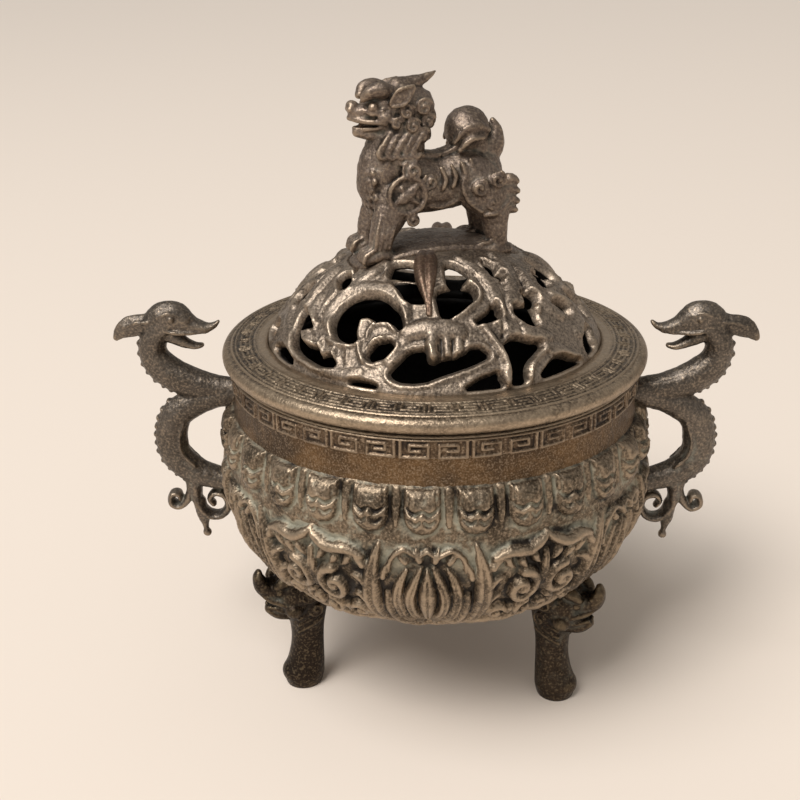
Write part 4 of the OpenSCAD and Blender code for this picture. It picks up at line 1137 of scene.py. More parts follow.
@dataclass
class Lid:
    """Turned rim with a flat fret and the pierced scroll dome that stands in it."""

    dome_r: float = 33.8
    dome_z: float = 50.615
    foot_r: float = 29.7
    thick: float = 2.3
    edge_r: float = 38.0
    roll_r: float = 1.35
    roll_z: float = 64.5
    top_z: float = 66.75
    fret_pairs: int = 24
    fret_r: float = 34.0
    slope_z: float = 65.85
    slope_r: float = 29.8
    foot_deg: float = 61.4
    plate_half: tuple[float, float] = (15.4, 6.9)
    plate_yaw: float = 18.0

    def on_dome(self, phi: np.ndarray, theta: np.ndarray) -> np.ndarray:
        """Outward directions of the dome's sphere."""
        return np.stack([np.sin(theta) * np.sin(phi), -np.sin(theta) * np.cos(phi), np.cos(theta)], axis=-1)

    def laid_flat(self, rows: Rows) -> np.ndarray:
        """Rows of direction and angle down as places on a flat sheet that keeps small shapes.

        Args:
            rows: Direction and angle in degrees, then half widths and heights if there are any.

        Returns:
            The rows with places first and half widths grown to the sheet's scale.
        """
        p = np.array(rows, float)
        far = 2 * self.dome_r * np.tan(np.radians(p[:, 1]) / 2)
        turn = np.radians(p[:, 0])
        if p.shape[1] > 2:
            p[:, 2] /= np.cos(np.radians(p[:, 1]) / 2) ** 2
        p[:, 0], p[:, 1] = far * np.sin(turn), -far * np.cos(turn)
        return p

    def grown(self, outline: np.ndarray, by: float) -> np.ndarray:
        """A closed outline moved outwards, so that its rounded edge ends where it was drawn.

        Args:
            outline: The outline's points.
            by: How far they move.

        Returns:
            The moved points.
        """
        after, before = np.roll(outline, -1, axis=0), np.roll(outline, 1, axis=0)
        along = unit(after - before)
        area = (outline[:, 0] * after[:, 1] - outline[:, 1] * after[:, 0]).sum()
        return outline + np.column_stack([along[:, 1], -along[:, 0]]) * by * math.copysign(1, area)

    def relief(self, art: Chasing) -> None:
        """Carves the raised forms, knuckles and grooves, on the front and again on the back.

        Args:
            art: The dome's carving.
        """
        flips = [np.array([half, half, 1, 1]) for half in (1, -1)]
        for flip in flips:
            for _, rows in entries(RIDGES):
                art.line(self.laid_flat(rows) * flip, per=3)
            for phi, theta, r in KNOBS:
                spot = [[phi, theta, r, 0.9 * r], [phi + 0.3, theta, r, 0.9 * r]]
                art.line(self.laid_flat(spot) * flip, sharp=True)
        for flip in flips:
            for _, rows in entries(FURROWS):
                art.dent(self.laid_flat(rows) * flip, per=3)

    def under_plate(self, place: np.ndarray) -> np.ndarray:
        """Which places lie under the lion's plate.

        Args:
            place: The places.

        Returns:
            True at each place that the plate covers.
        """
        turn = math.radians(self.plate_yaw)
        along = place[..., 0] * math.cos(turn) + place[..., 1] * math.sin(turn)
        across = place[..., 1] * math.cos(turn) - place[..., 0] * math.sin(turn)
        half_l, half_w = self.plate_half
        return np.abs(along / half_l) ** 2.8 + np.abs(across / half_w) ** 2.8 < 1

    def dome(self) -> bpy.types.Object:
        """The pierced dome: a carved shell with its openings cut through, on a plain foot ring.

        Returns:
            The dome.
        """
        columns, foot_z, foot_top, foot_inner = 529, (66.2, 65.3, 64.1), 66.4, 65.2
        steps = np.concatenate([np.linspace(4.5, 14, 7)[:-1], np.linspace(14, self.foot_deg, 84)])
        phi, theta = np.meshgrid(np.linspace(-180, 180, columns), steps)
        sheet = self.laid_flat(np.column_stack([phi.ravel(), theta.ravel()]))
        art = Chasing.over(sheet[:, 0].reshape(phi.shape), sheet[:, 1].reshape(phi.shape))
        away, edge_u, edge_v = np.full(phi.shape, FAR_MM), art.u.copy(), art.v.copy()
        for half in (1, -1):
            for _, hole in entries(HOLES):
                smooth = spline([*hole[-2:], *hole, *hole[:2]], 4)[8:-8]
                outline = self.grown(self.laid_flat(smooth) * half, 0.28)
                away, edge_u, edge_v = closer((away, edge_u, edge_v), art.apart(outline))
        self.relief(art)
        away *= np.cos(np.radians(theta) / 2) ** 2
        cells = (away[:-1, :-1] + away[1:, :-1] + away[:-1, 1:] + away[1:, 1:]) > 0
        # corners between metal and opening are drawn onto the outline
        around = np.pad(cells, 1, mode="edge")
        around[:, 0], around[:, -1] = around[:, -2], around[:, 1]
        four = np.stack([around[:-1, :-1], around[:-1, 1:], around[1:, :-1], around[1:, 1:]])
        border = four.any(axis=0) & ~four.all(axis=0)
        u, v = np.where(border, edge_u, art.u), np.where(border, edge_v, art.v)
        away = np.where(border, 0, away)
        phi = np.arctan2(u, -v)
        theta = 2 * np.arctan(np.hypot(u, v) / (2 * self.dome_r))
        inside = np.clip(away / 0.7, 0, 1)
        high = 0.3 * np.exp(-(((away - 0.75) / 0.3) ** 2)) - 0.95 * (1 - inside) ** 2
        high += art.height * np.clip(away / 0.6, 0, 1)
        high *= np.clip((self.foot_deg - np.degrees(theta)) / 1.5, 0, 1)
        up = self.on_dome(phi, theta)
        high = np.where(self.under_plate(up * self.dome_r), np.minimum(high, -1.5), high)
        middle = np.array([0, 0, self.dome_z])
        skin = up * (self.dome_r + high)[..., None] + middle
        ring = self.foot_r * np.array([np.sin(phi[-1]), -np.cos(phi[-1])])
        foot = [np.column_stack([*ring, np.full(columns, z)]) for z in foot_z]
        skin = np.concatenate([skin, foot])
        form = bmesh.new()
        bmesh.ops.create_grid(form, x_segments=columns - 1, y_segments=len(skin) - 1, size=0.5)
        inset, soot = form.verts.layers.float.new("inset"), form.verts.layers.float.new("soot")
        depth = 1.1 + 1.2 * np.clip(away / 1.6, 0, 1)
        depth = np.concatenate([depth, np.full((len(foot_z), columns), self.thick)])
        for vert, place, deep in zip(form.verts, skin.reshape(-1, 3), depth.ravel()):
            vert.co, vert[inset] = place, deep
        corner = [divmod(min(vert.index for vert in face.verts), columns) for face in form.faces]
        cut = [f for f, (i, j) in zip(form.faces, corner) if i < len(cells) and not cells[i, j]]
        bmesh.ops.delete(form, geom=cut, context="FACES")
        bmesh.ops.remove_doubles(form, verts=form.verts, dist=WELD_MM)
        back = bmesh.ops.extrude_face_region(form, geom=form.faces[:], use_keep_orig=True)["geom"]
        for vert in (part for part in back if isinstance(part, bmesh.types.BMVert)):
            x, y, z = vert.co
            # painted shade: the whole inside of the dome is darkened, where its openings show it
            vert[soot] = 1.0
            if z > foot_top:
                way = (vert.co - Vector(middle)).normalized()
                vert.co = Vector(middle) + way * (self.dome_r - vert[inset])
            else:
                shrink = (self.foot_r - self.thick) / math.hypot(x, y)
                vert.co = (x * shrink, y * shrink, min(z, foot_inner))
        form.verts.layers.float.remove(inset)
        bmesh.ops.recalc_face_normals(form, faces=form.faces)
        return as_object(form, "dome_scrolls")

    def buds(self) -> bpy.types.Object:
        """The two pods, front and back, each of two halves with a seam between them.

        Returns:
            Both pods in one piece.
        """
        clay = Clay()
        for turn in (0.0, math.pi):
            for s in SIDES:
                rows = []
                for phi, theta, deep, half in POD:
                    way = math.radians(phi) + turn
                    up = self.on_dome(np.radians(phi) + turn, np.radians(theta))
                    aside = np.array([math.cos(way), math.sin(way), 0])
                    middle = up * self.dome_r + aside * s * 0.72 * half + (0, 0, self.dome_z)
                    rows.append([*middle, deep, half])
                clay.limb(rows, 16, 5, (math.cos(turn), math.sin(turn), 0))
        return clay.fuse("dome_buds", 0.2, 1)

    def rim(self) -> bpy.types.Object:
        """The turned rim, with its spigot, seat and rolled edge.

        Returns:
            The rim.
        """
        roll = np.radians(np.linspace(-90, 90, 19))
        r, centre = self.roll_r, self.edge_r - self.roll_r
        profile = [[31.9, 58.65], [33.4, 58.65], [33.7, 58.95], [33.7, 62.65], [35.7, 62.65], [36.0, 63.1]]
        profile += [[centre + r * math.cos(a), self.roll_z + r * math.sin(a)] for a in roll]
        run, rise = self.slope_r + 0.1 - centre, self.top_z - self.slope_z - 0.1
        profile += [[centre + run * t, self.slope_z + rise * t] for t in np.linspace(0, 1, 9)[1:]]
        profile += [[self.slope_r, 64.05], [27.4, 64.05], [27.4, 62.65], [31.9, 62.65]]
        ring = as_object(turned(profile, SPIN_STEPS), "lid_rim_ring")
        # painted shade: the ledge and spigot inside the rim, which the dome's openings show, are darkened
        places = coordinates(ring.data)
        inside = np.hypot(places[:, 0], places[:, 1]) < 32.5
        mark(ring.data, "soot", inside & (places[:, 2] < self.top_z - 1))
        return ring

    def fret(self) -> bpy.types.Object:
        """Flat fret round the top of the rim, between border lines.

        Returns:
            The fret.
        """
        low, high = 31.6, 36.5
        pitch = math.tau * self.fret_r / self.fret_pairs
        art = Chasing(pitch, low, high, 64, 34)
        for r in (35.55, 36.2, 32.2):
            art.line([[-pitch, r, 0.2, 0.2], [pitch, r, 0.2, 0.2]], Section.FLAT, sharp=True)
        key = [[0.3, 34.9], [0.3, 33.0], [3.9, 33.0], [3.9, 34.6], [1.2, 34.6], [1.2, 33.75], [2.9, 33.75]]
        for s in SIDES:
            art.line([[s * (u + 0.05), r, 0.24, 0.2] for u, r in key], Section.FLAT, sharp=True)
        r = art.v[:, 0]
        centre = self.edge_r - self.roll_r
        rise, run = self.top_z - self.slope_z, centre - self.slope_r
        z = self.slope_z + rise * (centre - r) / run
        lean = unit(np.array([rise, run]))
        heights = np.tile(art.height, (1, self.fret_pairs)) * np.clip((high - r) / 0.2, 0, 1)[:, None]
        ring = collar(np.column_stack([r, z]), np.tile(lean, (len(r), 1)), heights, 0.6, 0.1)
        return as_object(ring, "lid_fret")

    def build(self, rim: bpy.types.Material, dome: bpy.types.Material, bud: bpy.types.Material) -> None:
        """Makes the rim, its fret, the dome and its buds.

        Args:
            rim: Finish of the rim and its fret.
            dome: Finish of the dome.
            bud: Finish of the buds.
        """
        Handover("lid", "lid_bronze", rim, ("lid_rim",), 10, 0.12).give(self.rim())
        Handover("lid", "lid_bronze", rim, (), 20, 0.17).give(self.fret())
        Handover("lid", "lid_bronze", dome, ("lid_dome",), 16, 0.75, 0.05).give(self.dome())
        Handover("lid", "lid_bronze", bud, (), 24, 0.4, 0.04).give(self.buds())


# Leg, with its outward side along X: shank, foot, knee, and the mask with its snout and jaw.
LEG = """
limb 28 6: 0 0 28 4.1 4.2, 0 0 20.8 4.4 4.4, 0 0 17.2 4 4, 0 0 12.4 3.2 3.2, .1 0 8.5 3.1 3.1,
    .5 0 4.8 3.5 3.4, 1 0 2.4 3.9 3.7, 1.1 0 .6 3.6 3.5;
ball: 1.8 0 2.5 3.5 3.4 2.7;
ball: 2.4 0 20.2 4.6;
limb: 3.4 0 20.4 2.8 3, 6 0 21.2 2.3 2.6, 8.2 0 22.6 1.7 2, 9 0 24.6 1.1 1.5, 8.9 0 25.8 .6 .9;
limb: 3 0 16.4 2 2.6, 5.6 0 16.6 1.5 2, 7.4 0 17.6 .9 1.3
"""
# Brow, eye, nostril, lips, cheek and curls of the mask.
LEG_SIDE = """
limb: 3 2.4 23.8 1.1 1.1, 5 2.7 24 1.2 1.1, 6.4 2.3 23.1 .7 .8;
ball: 5.9 2.5 21.9 .75, 8.4 1.3 23.4 .7;
cord: 9 .6 21.6 .4, 7.6 2 20.4 .5, 5.2 3.2 19.4 .55, 3.6 4 18.2 .5;
cord: 7.6 .8 18.4 .35, 6 2 17.9 .45, 4 3 17.2 .45;
ball: 3.6 3.5 18.2 1.7;
curl: .6 4.4 21.6 1.9 1.5 .42 .6 1, -.4 4.2 17.8 1.4 1.4 .36 .4 1
"""


@dataclass
class Legs:
    """Three legs with a beast mask at the knee and a rounded foot."""

    ring_r: float = 26.6
    turns: dict[str, float] = field(default_factory=lambda: {"left": -64.0, "right": 56.0, "rear": 176.0})

    def model(self, place: Matrix) -> Clay:
        """One leg, with three locks down each side of the shank.

        Args:
            place: Where the leg stands.

        Returns:
            The leg's forms.
        """
        clay = Clay(place)
        clay.forms(LEG)
        for s in SIDES:
            clay.forms(LEG_SIDE, s)
            for k in range(3):
                z = 16.6 - 1.5 * k
                middle, end = s * (3.8 - 0.2 * k), s * (2.9 - 0.3 * k)
                lock = [[-1.8, s * 3.3, z + 1.4, 0.4], [0.6, middle, z + 0.4, 0.5], [2.6, end, z - 1.2, 0.35]]
                clay.cord(lock)
        return clay

    def build(self, bowl: Bowl, finish: bpy.types.Material) -> None:
        """Makes the legs where they stand, cut to the bowl.

        Args:
            bowl: The bowl that they join.
            finish: Their finish.
        """
        for name, turn in self.turns.items():
            place = Matrix.Rotation(math.radians(turn - 90), 4, "Z") @ Matrix.Translation((self.ring_r, 0, 0))
            leg = self.model(place).fuse(f"{name}_leg_casting", 0.25, 1)
            bowl.sink(leg, bowl.sunk)
            places = coordinates(leg.data)
            places[:, 2] = np.maximum(places[:, 2], 0)
            move(leg.data, places)
            Handover("vessel", "leg_bronze", finish, (f"leg_{name}",), 24, 0.28).give(leg)


# Limbs of the right handle, named with their faces round: out, up, half depth and width factor.
HANDLE = """
neck 18: -3 18.6 2.1 .8, 2 19 2.4 .9, 7 20.2 2.9 1, 11.4 22.8 3 1, 13.2 26 2.6 .95, 12.6 29.2 2.5 .92,
    10.4 31.8 2.7 .95;
scroll 18: 1 17.4 2 .8, 5.4 16.4 2.6 .92, 9.6 13.8 2.9 1, 11.1 9.6 3 1, 10.6 5.4 2.9 1, 7.6 2.2 2.7 1,
    2.6 .4 2.2 .9, -3 0 2 .85;
arm 18: -3 18.2 2.6 .95, 1.4 17.8 2.6 .95, 4.6 17 2.5 .9, 7.2 17.6 1.6 .7;
skull 18: 12.8 31.6 2.2 .72, 10.8 32.6 2.9 .92, 8.6 32.6 2.9 .92, 6.6 31.6 2.1 .76;
bill 18: 7.6 31.6 2.2 .8, 5.4 31.2 1.45 .66, 3.4 30.7 1 .55, 1.9 31 .62 .4, .8 31.9 .3 .2;
lower bill 18: 9.6 29.4 1.7 .72, 7.4 28 1.05 .56, 5.4 27.2 .7 .46, 4 27.3 .4 .3;
crest 18: 10.8 32 2.3 .72, 14 31.4 1.9 .55, 16.8 30.9 2 .42, 18.6 29.9 1.5 .34, 19.8 28.6 .6 .2;
small volute 12: 8.4 2.2 1.5 .85, 8.2 -1.4 1 .72, 9.1 -4 .8 .66, 10.8 -5.5 .7 .64, 12.3 -4.7 .7 .62,
    12 -3 .66 .6, 10.8 -2.9 .6 .56, 10.5 -4 .5 .5;
great volute 12: 6.8 1.8 1.8 .9, 7.3 -1.8 1.2 .8, 7 -5 .95 .72, 5.2 -7.3 .85 .7, 2.8 -7.4 .8 .68,
    1.3 -5.4 .8 .66, 1.9 -3.2 .75 .62, 3.8 -2.7 .7 .58, 4.8 -4 .6 .52, 4.1 -5.2 .5 .45;
bud 12: 6.9 -4.6 1.2 .6, 6.4 -7.6 1.25 .58, 6.1 -9.8 .6 .3, 5.9 -11.6 .6 .28
"""
# Eye, brow, gape, crest line and scroll line.
HANDLE_SIDE = """
ball: 9 2.25 32.9 .72;
cord: 11.4 2.1 33.2 .35, 9.4 2.35 34 .45, 7.4 1.9 33.3 .35;
cord: 10.6 2.3 30.8 .3, 8.4 2.2 30.3 .42, 5.6 1.6 30.1 .35, 2.6 .9 30.1 .25;
cord: 13.2 1.8 32.2 .3, 15.6 1.3 31.9 .35, 18 .9 31 .3;
cord: 8.2 2 12.8 .3, 9.3 2.3 9.6 .4, 9 2.3 6.4 .4, 6.8 2.2 3.8 .35
"""


@dataclass
class Handles:
    """Two scroll handles, each a bird with a serrated neck on an open volute."""

    root_r: float = 38.1
    low_z: float = 36.8
    half_w: float = 2.7
    tooth_mm: float = 1.35

    def teeth(self, clay: Clay, rows: Rows, hand: int, ends: tuple[float, float]) -> None:
        """Serrated edge along one side of a limb, between two shares of its length.

        Args:
            clay: The forms that the teeth are added to.
            rows: The limb's rows.
            hand: Which side of the limb.
            ends: The two shares.
        """
        s = spline(rows, 24)
        along = unit(np.gradient(s[:, :3], axis=0))
        run = np.append(0, np.cumsum(np.linalg.norm(np.diff(s[:, :3], axis=0), axis=1)))
        out = np.column_stack([along[:, 2], 0 * along[:, 0], -along[:, 0]]) * hand
        for at in np.arange(ends[0] * run[-1], ends[1] * run[-1], self.tooth_mm):
            i = int(np.searchsorted(run, at))
            clay.ball(s[i, :3] + out[i] * (s[i, 3] - 0.12), (0.52, 1.1, 0.52))

    def model(self, place: Matrix) -> Clay:
        """One handle, drawn on the right.

        Args:
            place: Where the handle goes.

        Returns:
            The handle's forms.
        """
        clay, root = Clay(place), (self.root_r, 0, self.low_z)
        limbs = {}
        for (*name, sides), table in entries(HANDLE):
            rows = [[root[0] + u, 0, root[2] + v, deep, f * self.half_w] for u, v, deep, f in table]
            clay.limb(rows, int(sides), 6)
            limbs[name[0]] = rows
        self.teeth(clay, limbs["neck"], 1, (0.32, 0.92))
        self.teeth(clay, limbs["scroll"], -1, (0.26, 0.72))
        clay.forms("ball: 5.9 0 -11.4 .85", shift=root)
        for s in SIDES:
            clay.forms(HANDLE_SIDE, s, root)
        return clay

    def build(self, bowl: Bowl, finish: bpy.types.Material) -> None:
        """Makes both handles, cut to the bowl.

        Args:
            bowl: The bowl that they join.
            finish: Their finish.
        """
        for name, s in (("left", -1), ("right", 1)):
            handle = self.model(Matrix.Scale(s, 4, (1, 0, 0))).fuse(f"{name}_handle_casting", 0.22, 1)
            bowl.sink(handle, bowl.sunk)
            Handover("vessel", "handle_bronze", finish, (f"handle_{name}",), 24, 0.3, 0.1).give(handle)


# Lion, walking along -X: body, chest, skull, muzzle, nose, jaw, chin, tongue, horn, tail, tail ball and lobe.
LION = """
limb 22: -10 0 10.4 4.6 4, -5.4 0 9.9 5.6 4.7, 0 0 9.3 4.8 4.4, 5.2 0 10.4 5.1 4.6, 9 0 10.8 4 3.9;
limb 22: -9.4 0 7.8 3.6 3.6, -8.5 0 11.8 5.1 4.3, -7 0 16.4 4.6 4.2, -5.8 0 21 4.2 4;
limb 20: -3 0 22.2 3.5 3.5, -6.4 0 22.8 4 4, -9.6 0 23 2.9 3.2;
limb: -9 0 22.3 2.3 2.7, -12.2 0 22 1.6 2.1, -14 0 22.2 1.2 1.6;
ball: -14.2 0 23 1.05 1.3 1;
limb: -8.2 0 18.9 1.6 2.7, -11.4 0 18.4 1.1 2, -13.2 0 18.7 .8 1.4;
ball: -13.4 0 18.9 .9 1.1 .95;
limb: -11.2 0 19.8 .5 1, -12.8 0 20 .4 .8;
limb: -6.6 0 25.8 1.6 1.9, -4 0 26.3 1.25 1.3, -1.6 0 27 .8 .75, .2 0 28 .25 .25;
limb 18: 7.8 0 12.4 2.6 2.4, 7.4 0 15 2.6 2.4, 6.4 0 17 2.6 2.6;
ball: 5.8 0 18.2 3.9;
limb 16: 8.8 0 12.8 2.3 2.1, 10.5 0 15.2 2.1 2, 11 0 17.6 1.3 1.3, 10.4 0 19.4 .5 .6
"""
# Brow, eye, lid, nostril, cheek, lips and ear, then the curls of the mane and the collar under it.
LION_FACE = """
limb: -7.8 2.7 25.1 1 1, -9.8 2.6 25.8 1.35 1.35, -11.6 2.2 25.4 1.2 1.2, -12.6 1.5 24.4 .7 .9;
ball: -11.3 2.75 23.1 .85;
cord: -12.8 1.7 22.7 .3, -11.4 2.9 22 .35, -9.8 3.4 22.6 .3;
ball: -14.7 .85 22.6 .55;
ball: -9.2 3.2 21.4 1.5 .9 1.1;
cord: -14.8 0 21.2 .45, -13.6 1.5 20.9 .5, -11.6 2.6 20.7 .5, -9.4 3.4 20.6 .5;
cord: -14 0 19.5 .35, -12.6 1.4 19.4 .4, -10.6 2.3 19.6 .4, -9 2.9 20 .4;
limb: -8.6 3.9 23.7 .5 .5, -7 4.4 24.8 1.35 .6, -5.1 4.7 26.4 .35 .3;
cord: -8.8 4.2 24 .3, -7.7 4.9 25.9 .35, -5 4.9 26.6 .3;
cord: -8.5 4.3 23.3 .3, -6.4 4.9 23.7 .35, -4.9 4.9 26.2 .3;
curl: -2.9 3.5 22.8 1.5 1.5 .42 .5 1, -2.1 3.2 20.4 1.35 1.5 .42 .5 1, -3.4 3.9 18.3 1.4 1.5 .42 .5 1,
    -6 4.2 22.3 1.3 1.5 .42 .5 1, -5 4.3 20 1.35 1.5 .42 .5 1, -7.6 4 20.4 1.1 1.5 .42 .5 1;
cord: -9.4 3.4 14.6 .45, -6.4 4.5 14 .5, -3.2 4 15 .4
"""
# Foreleg and its paw, hind leg and its paw, shoulder disc and leaf, curls, haunch lines, tail locks, belly.
LION_LIMBS = """
limb 18: -7 3.2 8.8 3.7 1.9, -9.2 3.7 4.8 2.9 2.1, -10.5 3.8 1.6 2.2 2, -10.9 3.8 -1 2 2;
limb 18: -9.8 3.9 -1.5 1.4 2, -12 4 -1.4 1.5 2.15, -13.5 4 -2 1 1.8;
limb 20: 5.4 3.2 10.6 4.2 2.1, 7.9 3.8 7.8 4.2 2.5, 9.5 4.1 4.4 2.8 2.1, 9.8 4.2 1.6 2.1 1.9,
    10.1 4.2 -1.6 1.9 1.8;
limb 18: 11.8 4.2 -2.2 1.3 1.7, 9.4 4.3 -1.9 1.45 2.05, 6.9 4.3 -1.6 1.1 1.8;
ball: -6.3 4.7 8.7 3.2 .8 3.2;
limb: -8.2 5.4 7.6 .4 .4, -6.6 5.6 8.6 1 .6, -4.8 5.4 10.2 .4 .4;
cord: -7.4 5.45 10 .35, -5.8 5.5 8.2 .4, -4.6 5.45 7.4 .35;
curl: -5.4 4.9 12.7 1.75 1.6 .4 2.2 1, -2.2 4.9 10.7 1.4 1.6 .4 2.2 1, 6.2 5.85 9.2 1.5 1.3 .42 1.2 -1,
    9.4 5.85 10.4 1.5 1.3 .42 1.2 -1, 8.4 5.85 6.4 1.3 1.3 .42 1.2 -1;
cord: 4.6 4.4 12.6 .4, 3.6 4.9 10 .55, 4.4 5.2 7.2 .55, 6.6 5.9 5.2 .45;
cord: 7.2 5.8 4.4 .4, 9.2 6.1 4.8 .5, 11.6 5.6 6.4 .4;
limb: 2.7 2.6 16.4 .4 .5, 4.2 3.45 18.6 .65 .6, 6.6 3.5 19.2 .7 .6, 8.8 2.6 18.2 .5 .5;
limb: 3.4 3.2 15.2 .4 .5, 5.2 3.85 17 .6 .6, 7.6 3.5 17.2 .5 .5;
cord: 9.4 1.6 13.4 .4, 11.4 1.5 15.4 .5, 11.6 .9 17.8 .35;
cord: -1.8 3.5 6.2 .4, .6 3.4 5.9 .5, 3 3.6 6.9 .4
"""


@dataclass
class Lion:
    """Guardian lion that walks to the left on its plate, with a horn, a curled mane and a ball of a tail."""

    crown_z: float = 84.415
    dome_z: float = 50.615
    yaw: float = 18.0
    plate_l: float = 30.0
    plate_w: float = 13.0
    plate_top: float = 34.2
    plate_under: float = 32.5

    def trunk(self, clay: Clay) -> None:
        """Ridge of the back, ribs and the scales of the breast.

        Args:
            clay: The lion's forms so far.
        """
        ridge = [[-3.6, 0, 14.2], [-1.6, 0, 14.2], [0.6, 0, 14.2], [3, 0, 15], [5.2, 0, 16.2], [7, 0, 16.4]]
        clay.limb([[*p, 0.9, 1.5] for p in ridge])
        for s in SIDES:
            clay.cord([[x, s * 1.55, z + 0.25, 0.42] for x, _, z in ridge])
            for k, x in enumerate((-0.2, 1.6, 3.4, 5)):
                rib = [[x, s * 4.3, 12.8 + 0.35 * k, 0.35], [x + 0.7, s * 4.75, 11 + 0.2 * k, 0.45]]
                clay.cord(rib + [[x + 0.2, s * 4.8, 9.2 + 0.2 * k, 0.35]])
        for row in range(8):
            z = 5.6 + 1.35 * row
            lean = -11.3 if z > 13 else -13.4 + 0.06 * (z - 10.4) ** 2
            for k in range(-3, 4):
                a = math.radians(17 * k + (8 if row % 2 else 0))
                clay.ball((lean + 3.6 * (1 - math.cos(a)) + 0.5, 4.3 * math.sin(a), z), (0.6, 0.95, 0.85))

    def mane(self, clay: Clay) -> None:
        """Hooked locks down the neck, and curls on the nape.

        Args:
            clay: The lion's forms so far.
        """
        for s in SIDES:
            for k, x in enumerate((-10.6, -9.2, -7.8, -6.4, -5.0)):
                y = 3.7 + 0.35 * min(k, 2)
                lock = [[2.4, y - 0.5, 19.2, 0.4], [0.9, y, 17.4, 0.55], [-0.1, y, 15.7, 0.6]]
                lock += [[0.6, y + 0.2, 14.9, 0.5], [1.2, y + 0.1, 15.5, 0.35]]
                clay.cord([[x + out, s * aside, z, r] for out, aside, z, r in lock])
        for x, z, r in ((-0.7, 23.1, 1.6), (-0.1, 20.6, 1.6), (-0.9, 18.0, 1.5), (-1.9, 15.9, 1.2)):
            clay.curl((x - 0.6, 0, z), r, ((0, 1, 0), (0, 0, 1)), 1.5, 0.45, 0.5, 1)
            clay.ball((x - 1.6, 0, z), (1.7, 2.6, 1.6))

    def limbs(self, clay: Clay) -> None:
        """Lines of the forelegs, toes, the shoulder disc's rim, and the tufts behind the hocks.

        Args:
            clay: The lion's forms so far.
        """
        for s in SIDES:
            for k in range(4):
                x, y = -1.5 + 1.0 * k, s * (2.5 + 1.05 * k)
                line = [[-9.4 + x, s * 5.2, 5.6, 0.3], [-10.5 + 0.85 * x, s * 5.75, 2.6, 0.42]]
                clay.cord(line + [[-10.9 + 0.8 * x, s * 5.7, 0, 0.35]])
                clay.cord([[-12.4, y, -0.1, 0.4], [-13.7, y, -0.9, 0.55], [-14.2, y, -2.1, 0.45]])
                clay.cord([[8.2, y, -0.4, 0.35], [6.5, y, -0.7, 0.5], [5.9, y, -1.7, 0.4]])
            turn, disc_r = np.linspace(0, math.tau, 29), 3.15
            rim = [[-6.3 + disc_r * math.cos(a), s * 5.25, 8.7 + disc_r * math.sin(a), 0.45] for a in turn]
            clay.cord(rim, 1)
            clay.curl((-6.1 - 0.8 * s, s * 5.2, 4.5), 1.2, ((1, 0, 0), (0, 0, -s)), 1.6, 0.4, 2.2, 1)
            for k, z in enumerate((10, 8.3, 6.6, 5.0)):
                tuft = [[10, s * 4.1, 8.6 - 0.6 * k, 1, 1.2], [12, s * 4.4, z + 0.2, 1, 1.1]]
                clay.limb(tuft + [[13.7 - 0.25 * abs(k - 1.4), s * 4.4, z - 0.4, 0.6, 0.8]])

    def plate(self, clay: Clay) -> None:
        """Oval plate that lies on the dome, with the stud under it.

        Args:
            clay: The lion's forms so far.
        """
        angle = np.linspace(0, math.tau, 97)
        turn = math.radians(self.yaw)
        oval = np.column_stack([np.cos(angle), np.sin(angle)])
        edge = np.array([self.plate_l / 2, self.plate_w / 2]) * np.sign(oval) * np.abs(oval) ** 0.72
        rings = []
        steps = [(t, self.plate_top) for t in (0, 0.2, 0.4, 0.6, 0.8, 0.95)]
        steps += [(1, self.plate_top - 0.4), (1, self.plate_under + 0.3)]
        steps += [(t, self.plate_under) for t in (0.95, 0.6, 0.3, 0)]
        for grow, r in steps:
            x, y = (edge * grow).T
            z = np.sqrt(r * r - x * x - y * y) + self.dome_z
            east, north = x * math.cos(turn) - y * math.sin(turn), x * math.sin(turn) + y * math.cos(turn)
            rings.append(np.column_stack([east, north, z]))
        clay.take(wrapped(np.array(rings)))
        clay.take(turned([[0, 78], [1.3, 78], [1.5, 78.2], [1.5, 84], [0, 84]], 32))

    def build(self, finish: bpy.types.Material) -> None:
        """Makes the lion, its plate and its stud in one casting.

        Args:
            finish: Its finish.
        """
        yaw = Matrix.Rotation(math.radians(self.yaw), 4, "Z")
        clay = Clay(Matrix.Translation((0, 0, self.crown_z)) @ yaw)
        clay.forms(LION)
        for s in SIDES:
            clay.forms(LION_FACE, s)
            clay.forms(LION_LIMBS, s)
        for form in (self.trunk, self.mane, self.limbs, self.plate):
            form(clay)
        lion = clay.fuse("lion_casting", 0.23, 1)
        places = coordinates(lion.data)
        middle = np.array([0, 0, self.dome_z])
        out = places - middle
        r = np.linalg.norm(out, axis=1)
        low = (r < self.plate_under) & (np.hypot(places[:, 0], places[:, 1]) > 2)
        places[low] = middle + unit(out[low]) * self.plate_under
        move(lion.data, places)
        Handover("lid", "lion_bronze", finish, ("lion",), 24, 0.3, 0.11).give(lion)


